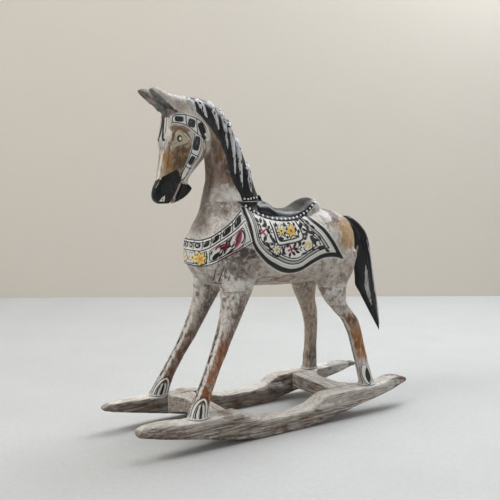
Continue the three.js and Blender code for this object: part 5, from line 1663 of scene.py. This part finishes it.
    # rear column
    patch(k, ch, (24.2, 113.6), [(-3.4, 2.2), (-0.8, 2.7), (1.6, 1.0), (3.9, -1.0), (1.2, -1.5), (0.4, -2.6), (1.6, -4.9), (-0.4, -3.6), (-2.0, -2.0), (-3.2, 0.2)])
    patch(d, ch, (24.2, 114.6), LEAF(3.6, 0.6), -38)
    patch(w, ch, (26.2, 110.6), leaf(2.6, 1.2), -40, lift=0.21)
    patch(k, ch, (28.6, 108.2), leaf(5.0, 1.5), 4)
    patch(k, ch, (33.0, 106.2), leaf(3.0, 1.0), -30)
    cross_flower(k, ch, (19.6, 118.6), 3.8, -28)
    cross_flower(r, ch, (19.4, 118.2), 1.3, 17)
    for q, e, a in (((16.4, 122.4), (3.4, 1.3), 65), ((20.0, 122.4), (2.4, 1.0), -50), ((23.4, 117.6), (2.6, 1.1), -30), ((17.4, 114.2), (2.0, 0.9), 20), ((27.6, 114.6), (2.4, 0.9), -45)):
        patch(k, ch, q, leaf(*e), a)
    for q, e, a in (((18.2, 115.6), (2.4, 1.3), 20), ((17.4, 119.6), (2.0, 0.9), 80), ((21.9, 120.4), (2.2, 0.9), -45)):
        patch(v, ch, q, leaf(*e), a)
    # tufts along the top edge and filling between the figures
    for q, e, a in (((-14.4, 126.4), (3.0, 1.2), -60), ((-11.6, 126.0), (2.8, 1.1), 60), ((-8.9, 125.2), (2.6, 1.0), -70), ((-7.4, 121.8), (2.0, 0.9), 60),
                    ((15.6, 126.0), (2.6, 1.1), 60), ((18.6, 125.4), (2.6, 1.1), -60), ((21.8, 124.2), (2.8, 1.0), -50), ((24.4, 121.0), (2.8, 1.0), -50),
                    ((13.8, 118.8), (1.8, 0.7), 85), ((17.2, 117.0), (1.6, 0.8), 10), ((-7.2, 112.2), (2.0, 0.9), -30), ((2.8, 117.6), (1.6, 0.8), 60),
                    ((5.2, 120.8), (2.0, 0.8), 70), ((11.4, 119.8), (1.6, 0.7), 80), ((-1.6, 106.2), (2.2, 0.8), 60), ((11.4, 106.4), (2.6, 0.9), -20),
                    ((15.8, 111.4), (2.2, 0.9), 40), ((22.8, 107.4), (2.6, 0.9), -10), ((-6.8, 106.2), (2.4, 0.9), -50), ((-14.6, 119.9), (2.0, 0.9), 80)):
        patch(k, ch, q, leaf(*e), a)
    curl(k, ch, (-6.0, 119.4), 1.4, 40, 330, 0.5)
    # old scratches on the chest, filled with dark paint
    for i, q in enumerate(([(-43.1, 99.7), (-42.6, 95.6), (-41.6, 90.9)], [(-38.9, 100.9), (-40.0, 96.6), (-40.6, 92.4), (-39.6, 87.4)], [(-37.5, 99.8), (-38.7, 96.8), (-38.0, 93.2)])):
        stroke(k, ch, q, 0.36, (1.2, 1.6), lift=0.07, seed=60 + i, wob=0.12)
    curl(k, ch, (22.6, 113.6), 1.3, 120, 420, 0.5)
    curl(k, ch, (12.6, 108.8), 1.6, 0, 300, 0.5)
    # white dotted rim of the saddle
    rim = [(-20.4, 134.8), (-17.3, 132.7), (-14.9, 131.2), (-12.5, 129.9), (-9.5, 128.7), (-6.6, 127.8), (-3.6, 126.9), (-0.3, 126.3), (3.1, 126.0), (6.6, 125.9),
           (10.2, 126.0), (15.0, 126.6), (18.7, 127.6), (23.3, 129.3), (26.2, 130.8), (29.4, 133.0), (31.8, 134.8), (33.4, 136.2), (34.3, 137.6)]
    rim = [(-20.4, 134.8)] + [tuple(p) for p in crom([(a, b + 0.25) for a, b in rim], 3.05)[1:]]
    P = crom(rim, 0.2)
    s = np.concatenate([[0], np.cumsum(np.hypot(*np.diff(P, axis=0).T))])
    for i, q in enumerate(np.arange(0.6, s[-1], 3.15)):
        c = (np.interp(q, s, P[:, 0]), np.interp(q, s, P[:, 1]))
        patch(d, ch, c, disc(0.66 + 0.08 * math.sin(2.3 * i), k=12), dome=0.30)


def saddle_back_dots(side):
    """Dots up the back edge of the cantle."""
    ch = Chart(TRUNK_OB, 'top', side)
    d = POTS['body', 'dots']
    for u, v in ((32.3, 10.9), (33.6, 9.3), (34.4, 7.4), (34.9, 5.2), (35.1, 2.8), (35.2, 0.5)):
        patch(d, ch, (u, v), disc(0.64, k=12), dome=0.28)


def neck_dots(side):
    ch = Chart(HEAD_OB, 'side', side)
    d = POTS['head', 'dots']
    for u, v in ((-19.3, 138.6), (-16.4, 138.3), (-13.9, 138.6), (-11.0, 139.0), (-7.7, 139.2)):
        patch(d, ch, (u, v), disc(0.62, k=12), dome=0.28)


def collar_motifs(side):
    ch = Chart(TRUNK_OB, 'collar', side)
    k, w, r, y, d = (POTS['body', c] for c in ('black', 'white', 'red', 'yellow', 'dots'))

    def s_of(x, yy):
        return float(np.interp(math.atan2(abs(yy), -(x + 22.0)), ch.a, ch.s))
    # upper band: black cells in white frames, growing toward the rear
    ends = [s_of(-50.7, 0.0), s_of(-50.4, 4.9), s_of(-47.9, 11.1), s_of(-44.5, 15.0), s_of(-39.6, 17.2), s_of(-31.9, 17.0), s_of(-24.2, 15.0)]
    for i in range(6):
        a, b = ends[i], ends[i + 1]
        m = 0.5 * (a + b)
        h = 4.4 + 0.55 * i
        if i > 1:
            patch(k, ch, (m, 1.50), box((b - a) * 0.70, h), 0.0)
            patch(d, ch, (m - 0.2 * (b - a), 1.60), leaf(h * 0.6, 0.4), 80, size=0.9)
        else:
            patch(k, ch, (m, 1.50), disc((b - a) * 0.36, 2.6, 16))
            cross_flower(d, ch, (m, 1.50), 1.4, 45)
        if i:
            stroke(k, ch, [(a, 1.12), (a + 0.15, 1.5), (a + 0.1, 1.9)], 0.55, (0, 0), seed=i)
    # lower band: flower at the chest, scrolls and a teardrop at the sides
    sa, sb = s_of(-51.0, 4.6), s_of(-49.4, 10.4)
    stroke(k, ch, [(0.0, 0.10), (sa, 0.06), (sb + 1.2, 0.10), (sb + 4.0, 0.30), (sb + 4.6, 0.62), (sb + 3.8, 0.92)], 0.55, (0.1, 0.3), seed=31)
    flower(w, ch, (sa, 0.56), 3.9, 6, 12, None, 0.55, lift=0.14, rim=k)
    flower(y, ch, (sa, 0.56), 2.4, 5, 40, k, lift=0.165)
    flower(y, ch, (sb, 0.50), 4.3, 7, 0, None, 0.55, lift=0.17, rim=k)
    flower(POTS['body', 'orange'], ch, (sb, 0.50), 2.5, 5, 30, k, lift=0.20)
    curl(w, ch, (sb + 3.4, 0.36), 1.5, 150, -120, 0.8)
    e1, e2 = s_of(-47.6, 14.0), s_of(-24.5, 17.6)
    stroke(k, ch, [(e1, 0.12), (e1 + 0.3, 0.5), (e1, 0.88)], 0.55, (0, 0), seed=3)
    stroke(w, ch, [(e1 + 0.9, 0.14), (e1 + 1.2, 0.5), (e1 + 0.9, 0.86)], 0.8, (0, 0), seed=4)
    # long panel outline
    a, b = e1 + 2.0, e2 - 1.0
    stroke(k, ch, [(a, 0.30), (a + 0.4, 0.80), (a + 4, 0.86), (0.5 * (a + b), 0.86), (b - 3, 0.86), (b, 0.78), (b + 0.3, 0.35), (b - 2.5, 0.17), (0.5 * (a + b), 0.15), (a + 3, 0.17)], 0.42, closed=True, seed=5)
    L = b - a
    cross_flower(k, ch, (a + 0.42 * L, 0.55), 3.2, 75)
    cross_flower(r, ch, (a + 0.42 * L, 0.55), 2.8, 30)
    patch(k, ch, (a + 0.42 * L, 0.55), disc(0.42, k=10))
    curl(r, ch, (a + 0.24 * L, 0.60), 2.2, 150, -80, 1.3)
    patch(k, ch, (a + 0.17 * L, 0.36), disc(2.3, 1.5, 20), 15)
    stroke(w, ch, [(a + 0.17 * L - 3.0, 0.34), (a + 0.17 * L - 1.0, 0.56), (a + 0.17 * L + 2.2, 0.56), (a + 0.17 * L + 3.2, 0.36), (a + 0.17 * L + 0.6, 0.16)], 0.6, (0.3, 0.3), lift=0.15)
    patch(k, ch, (a + 0.30 * L, 0.32), leaf(3.0, 1.4), 35)
    patch(d, ch, (a + 0.50 * L, 0.34), leaf(3.8, 1.8), 30)
    patch(k, ch, (a + 0.54 * L, 0.22), leaf(6.4, 1.5), 12)
    curl(k, ch, (a + 0.61 * L, 0.58), 2.4, 100, 380, 1.0)
    curl(d, ch, (a + 0.64 * L, 0.52), 1.5, 200, -60, 0.6)
    patch(r, ch, (a + 0.80 * L, 0.55), leaf(8.6, 4.6, 0.4), 46)
    patch(k, ch, (a + 0.79 * L, 0.57), leaf(6.0, 2.5, 0.3), 46)
    patch(r, ch, (a + 0.80 * L, 0.55), leaf(3.6, 0.7, 0.1), 46, lift=0.23)
    curl(k, ch, (a + 0.88 * L, 0.48), 3.2, 80, -120, 0.8)
    patch(k, ch, (a + 0.05 * L, 0.66), leaf(2.6, 1.0), 60)
    patch(k, ch, (a + 0.32 * L, 0.74), leaf(2.8, 0.9), -10)
    patch(k, ch, (a + 0.52 * L, 0.76), leaf(2.8, 0.9), 10)
    stroke(r, ch, [(a + 0.2 * L, 0.07), (a + 0.6 * L, 0.075), (a + 0.95 * L, 0.09)], 0.45, (0.6, 0.6), seed=8, lift=0.12)


def bridle(side):
    ch = Chart(HEAD_OB, 'side', side)
    k, w, be, br, g, d = (POTS['head', c] for c in ('black', 'white', 'beige', 'brown', 'grey', 'dots'))
    # browband
    up = np.array([(-64.3, 185.2), (-62.2, 186.5), (-57.2, 187.0), (-52.5, 186.1), (-48.3, 184.7), (-44.2, 182.0), (-42.0, 177.5), (-41.3, 173.0)])
    lo = np.array([(-64.6, 181.0), (-60.9, 180.9), (-57.3, 180.0), (-53.6, 178.0), (-50.3, 175.7), (-47.2, 173.6), (-44.0, 172.3), (-41.6, 171.6)])
    c, wd = 0.5 * (up + lo), np.hypot(*(up - lo).T)
    stroke(w, ch, c, wd, (0, 0), lift=0.10, cols=9, wob=0.03)

    def inset(a, b, t):
        return a + (b - a) * (t / np.maximum(np.hypot(*(b - a).T), 1.5))[:, None]
    stroke(k, ch, inset(up, lo, 0.66)[:-1], 0.52, (0.2, 0.2), seed=1, wob=0.08)
    stroke(k, ch, inset(lo, up, 0.70)[:-1], 0.52, (0.2, 0.2), seed=2, wob=0.08)
    stroke(k, ch, [(-63.9, 184.4), (-64.0, 182.8), (-63.7, 181.7)], 0.5, (0.1, 0.1))
    stroke(k, ch, [(-56.2, 186.2), (-56.4, 183.4), (-56.0, 180.4)], 0.62, (0, 0))
    stroke(k, ch, [(-49.4, 184.3), (-49.6, 180.4), (-49.2, 175.9)], 0.62, (0, 0))
    patch(k, ch, (-60.3, 183.7), box(5.0, 3.1), -2)
    patch(k, ch, (-52.9, 181.7), box(4.8, 4.9), -14)
    patch(k, ch, (-45.6, 177.6), box(4.4, 10.0), 22, lift=0.55)
    patch(k, ch, (-43.6, 174.8), leaf(3.6, 1.6), -40)
    for q, a in (((-61.2, 183.9), 70), ((-53.6, 182.2), 60), ((-46.3, 179.4), 100)):
        patch(g, ch, q, leaf(1.8, 0.45), a, lift=0.23)
    # cheek strap
    L = np.array([(-51.9, 176.0), (-53.0, 171.0), (-54.3, 165.7), (-56.3, 159.0), (-58.6, 153.8), (-59.0, 150.6)])
    R = np.array([(-46.6, 173.4), (-47.2, 168.6), (-48.9, 163.4), (-51.9, 157.6), (-54.6, 152.4), (-57.4, 149.3)])
    c, wd = 0.5 * (L + R), np.hypot(*(L - R).T)
    stroke(w, ch, c, wd, (0, 0.3), lift=0.10, cols=9, wob=0.03)
    stroke(k, ch, inset(L, R, 0.60), 0.50, (0.1, 0.1), seed=4, wob=0.08)
    stroke(k, ch, inset(R, L, 0.62), 0.50, (0.1, 0.1), seed=5, wob=0.08)
    stroke(w, ch, inset(R, L, -0.9)[1:], 0.7, (0.2, 0.5), seed=6)
    stroke(k, ch, [(-54.0, 165.4), (-51.6, 164.0), (-49.2, 163.2)], 0.62, (0, 0))
    stroke(k, ch, [(-56.7, 157.9), (-54.4, 156.7), (-52.3, 156.5)], 0.62, (0, 0))
    patch(k, ch, (-50.3, 170.5), box(3.9, 8.6), -14)
    patch(k, ch, (-52.9, 160.9), box(3.0, 5.2), -24)
    patch(g, ch, (-50.5, 170.6), leaf(3.0, 0.5), 72, lift=0.23)
    stroke(k, ch, [(-56.6, 157.0), (-58.2, 153.9), (-58.7, 151.1), (-57.6, 149.9), (-56.1, 151.2), (-54.2, 154.4), (-53.0, 156.5)], 0.50, (0.1, 0.1), seed=7)
    # eye: almond, ring and light
    alm = np.array([(-65.0, 166.9), (-65.1, 169.8), (-64.2, 173.3), (-62.6, 176.3), (-60.7, 177.5), (-58.6, 176.2), (-56.4, 173.6), (-54.5, 171.0), (-57.4, 169.8), (-60.0, 169.2), (-62.4, 168.2)])
    cc = np.array([-60.6, 172.2])
    dense = crom(np.vstack([alm, alm[:1]]), 0.6)[:-1]
    patch(be, ch, cc, dense - cc)
    stroke(br, ch, [(-65.1, 171.3), (-64.2, 175.4), (-62.6, 178.0), (-60.6, 178.9), (-58.2, 177.9), (-55.7, 175.3), (-53.8, 172.6)], 1.15, (0.7, 0.7), seed=2)
    stroke(g, ch, [(-54.6, 170.8), (-58.2, 169.4), (-61.6, 168.0), (-64.8, 166.3)], 0.34, (0.4, 0.6), seed=3)
    patch(k, ch, (-60.9, 172.9), disc(1.75, 1.9, 24), dome=0.10)
    patch(d, ch, (-60.7, 172.8), disc(0.98, 1.02, 18), lift=0.34, dome=0.12)
    stroke(g, ch, [(-62.6, 170.6), (-63.6, 169.9), (-64.0, 169.5)], 0.5, (0.2, 0.8))
    # line where the side of the face meets the front
    stroke(g, ch, [(-64.2, 179.8), (-65.0, 175.5), (-65.8, 169.5), (-66.2, 164.0), (-66.8, 159.0), (-67.4, 155.6)], 0.45, (0.5, 0.7), seed=9)
    # nostril
    patch(w, ch, (-69.6, 139.4), np.array([(1.3, 2.0), (1.5, 0.6), (1.5, -1.3), (0.2, -1.5), (-1.6, -1.4), (-0.9, -0.3), (0.2, 1.0)]), lift=0.12)
    patch(g, ch, (-69.3, 138.9), disc(0.45, 0.6, 12), lift=0.16)
    # forelock on the brow
    fc = Chart(HEAD_OB, 'front', side)
    stroke(k, fc, [(0.9, 185.4), (1.1, 181.5), (1.7, 177.0), (2.5, 173.4), (3.4, 171.9)], [2.0, 2.4, 2.4, 2.0, 1.2], (0.5, 0.3), seed=11)
    patch(k, fc, (3.3, 172.4), disc(1.35, 0.85, 14), -15)
    stroke(g, fc, [(3.6, 185.0), (3.9, 180.0), (4.2, 175.5)], 0.5, (0.5, 0.8), seed=12)
    stroke(w, fc, [(2.6, 184.6), (2.8, 180.0), (3.3, 175.6)], 0.9, (0.5, 0.8), seed=13)
    stroke(g, fc, [(0.3, 168.6), (1.9, 167.2), (3.6, 168.6), (4.6, 170.6)], 0.4, (0.6, 0.6), seed=14)


def hoof(ob, side, centre, hind):
    ch = Chart(ob, 'leg', side, centre)
    k, w, g = (POTS['hooves', c] for c in ('black', 'white', 'grey'))
    if not hind:
        c = 1.9
        stroke(w, ch, [(c - 4.1, 19.0), (c - 3.9, 23.0), (c - 2.6, 26.8), (c, 28.6), (c + 2.6, 26.8), (c + 3.9, 23.0), (c + 4.1, 19.0)], 0.95, (0.2, 0.2), seed=1)
        stroke(k, ch, [(c - 3.2, 19.0), (c - 3.0, 22.8), (c - 1.9, 26.0), (c, 27.4), (c + 1.9, 26.0), (c + 3.0, 22.8), (c + 3.2, 19.0)], 0.40, (0.2, 0.2), seed=2)
        stroke(k, ch, [(c - 4.9, 19.0), (c - 4.8, 23.6), (c - 3.3, 27.9), (c, 29.8), (c + 3.3, 27.9), (c + 4.8, 23.6), (c + 4.9, 19.0)], 0.40, (0.2, 0.2), seed=3)
        stroke(w, ch, [(c - 2.2, 19.2), (c - 1.9, 23.0), (c - 0.9, 25.9)], 0.9, (0.2, 0.7), seed=4)
        stroke(k, ch, [(c - 0.5, 18.9), (c - 0.5, 22.0), (c + 0.1, 26.2)], [1.5, 1.5, 0.8], (0.1, 0.6), seed=5)
        stroke(w, ch, [(c + 1.1, 19.1), (c + 1.2, 22.6), (c + 0.8, 26.0)], 0.75, (0.2, 0.7), seed=6)
        stroke(k, ch, [(c + 2.1, 19.0), (c + 2.2, 22.0), (c + 1.6, 25.0)], 0.7, (0.2, 0.8), seed=7)
    else:
        c = 2.0
        ring = [(c + 3.0 * math.cos(t), 25.2 + 6.4 * math.sin(t)) for t in np.linspace(0, 2 * math.pi, 14, endpoint=False)]
        patch(w, ch, (c, 25.2), disc(3.6, 7.0, 28), 0, lift=0.08)
        stroke(k, ch, ring, 0.42, closed=True, seed=8)
        ring = [(c + 2.3 * math.cos(t), 25.2 + 5.6 * math.sin(t)) for t in np.linspace(0, 2 * math.pi, 14, endpoint=False)]
        stroke(w, ch, ring, 0.75, closed=True, seed=9, lift=0.15)
        patch(k, ch, (c - 1.2, 24.6), LEAF(11.0, 4.0), 98)
        stroke(g, ch, [(c + 3.9, 19.0), (c + 4.2, 24.0), (c + 3.3, 30.0)], 0.6, (0.2, 0.6), seed=10)


for s_ in (-1, 1):
    blanket_motifs(s_)
    saddle_back_dots(s_)
    neck_dots(s_)
    collar_motifs(s_)
    bridle(s_)
hoof(FORE_L, -1, C_FL, False)
hoof(FORE_R, 1, C_FR, False)
hoof(FORE_R, -1, C_FR, False)
hoof(FORE_L, 1, C_FL, False)
hoof(HIND_L, -1, C_HL, True)
hoof(HIND_R, 1, C_HR, True)
for pot_ in POTS.values():
    pot_.make()

# ------------------------------------------------------------------ floor, wall, light, camera
def stage_plane(name, corners, colour, rough, mottle):
    V = np.array(corners, float)
    ob = new_mesh(name, V, np.array([[0, 1, 2, 3]]), smooth_shade=False)
    n = Nodes(name)
    a = n.noise((60, 60, 60), 5, 0.6)
    b = n.noise((3.0, 3.0, 3.0), 4, 0.6)
    c = n.mix(n.step(a, 0.35, 0.65, 0.0, mottle), colour, colour * 0.82)
    c = n.mix(n.step(b, 0.35, 0.62, mottle, 0.0), c, colour * 0.75)
    sh = n.new('ShaderNodeBsdfPrincipled', {'Base Color': c, 'Roughness': rough})
    n.new('ShaderNodeOutputMaterial', {'Surface': sh.outputs[0]})
    ob.data.materials.append(n.mat)
    return ob


p_, y_, r_ = CAM['pitch'], CAM['yaw'], CAM['roll']
fwd = Vector((-math.sin(y_) * math.cos(p_), math.cos(y_) * math.cos(p_), -math.sin(p_)))
right0 = Vector((math.cos(y_), math.sin(y_), 0.0))
up0 = right0.cross(fwd)
rt = right0 * math.cos(r_) + up0 * math.sin(r_)
upv = up0 * math.cos(r_) - right0 * math.sin(r_)
M = Matrix((rt, upv, -fwd)).transposed().to_4x4()
M.translation = Vector(CAM['at']) * MM
cam = bpy.data.cameras.new("camera")
cam.lens, cam.sensor_width, cam.clip_start = 50.4, 36.0, 0.01
camo = bpy.data.objects.new("camera", cam)
camo.matrix_world = M
bpy.context.scene.collection.objects.link(camo)
bpy.context.scene.camera = camo

flat = Vector((fwd.x, fwd.y, 0)).normalized()
side_v = Vector((right0.x, right0.y, 0)).normalized()
ground = Vector((CAM['at'][0], CAM['at'][1], 0))
W = ground + flat * 897.0
quad = [W - side_v * 1800, W + side_v * 1800, ground - flat * 900 + side_v * 1800, ground - flat * 900 - side_v * 1800]
stage_plane("floor", [tuple(q) for q in quad][::-1], lin(190, 191, 190), 0.65, 0.22)
stage_plane("backdrop", [tuple(W - side_v * 1800), tuple(W + side_v * 1800), tuple(W + side_v * 1800 + Vector((0, 0, 1800))), tuple(W - side_v * 1800 + Vector((0, 0, 1800)))],
            lin(208, 201, 190), 0.8, 0.05)


def area(name, at, to, size, power, colour=(1, 1, 1)):
    l = bpy.data.lights.new(name, 'AREA')
    l.shape, l.size, l.energy, l.color = 'DISK', size, power, colour
    o = bpy.data.objects.new(name, l)
    o.location = Vector(at)
    o.rotation_euler = (Vector(to) - Vector(at)).to_track_quat('-Z', 'Y').to_euler()
    bpy.context.scene.collection.objects.link(o)
    return o


mid_ = Vector((0.0, 0.0, 0.09))
fl, sv = flat, side_v
area("soft_window", mid_ - fl * 0.40 - sv * 0.80 + Vector((0, 0, 0.75)), mid_, 0.60, 7.8, (1.0, 0.985, 0.96))
area("overhead", mid_ + fl * 0.25 + sv * 0.15 + Vector((0, 0, 0.95)), mid_, 0.8, 6.2, (0.97, 0.985, 1.0))
area("fill", mid_ - fl * 0.6 + sv * 0.8 + Vector((0, 0, 0.35)), mid_, 0.8, 1.8, (1.0, 0.99, 0.98))
area("back", mid_ + fl * 0.36 + sv * 0.34 + Vector((0, 0, 0.50)), mid_, 0.42, 3.0, (0.86, 0.93, 1.0))
wrld = bpy.data.worlds.new("studio")
wrld.use_nodes = True
wrld.node_tree.nodes["Background"].inputs[0].default_value = (0.93, 0.94, 0.96, 1)
wrld.node_tree.nodes["Background"].inputs[1].default_value = 0.25
bpy.context.scene.world = wrld
bpy.context.scene.view_settings.view_transform = "Standard"
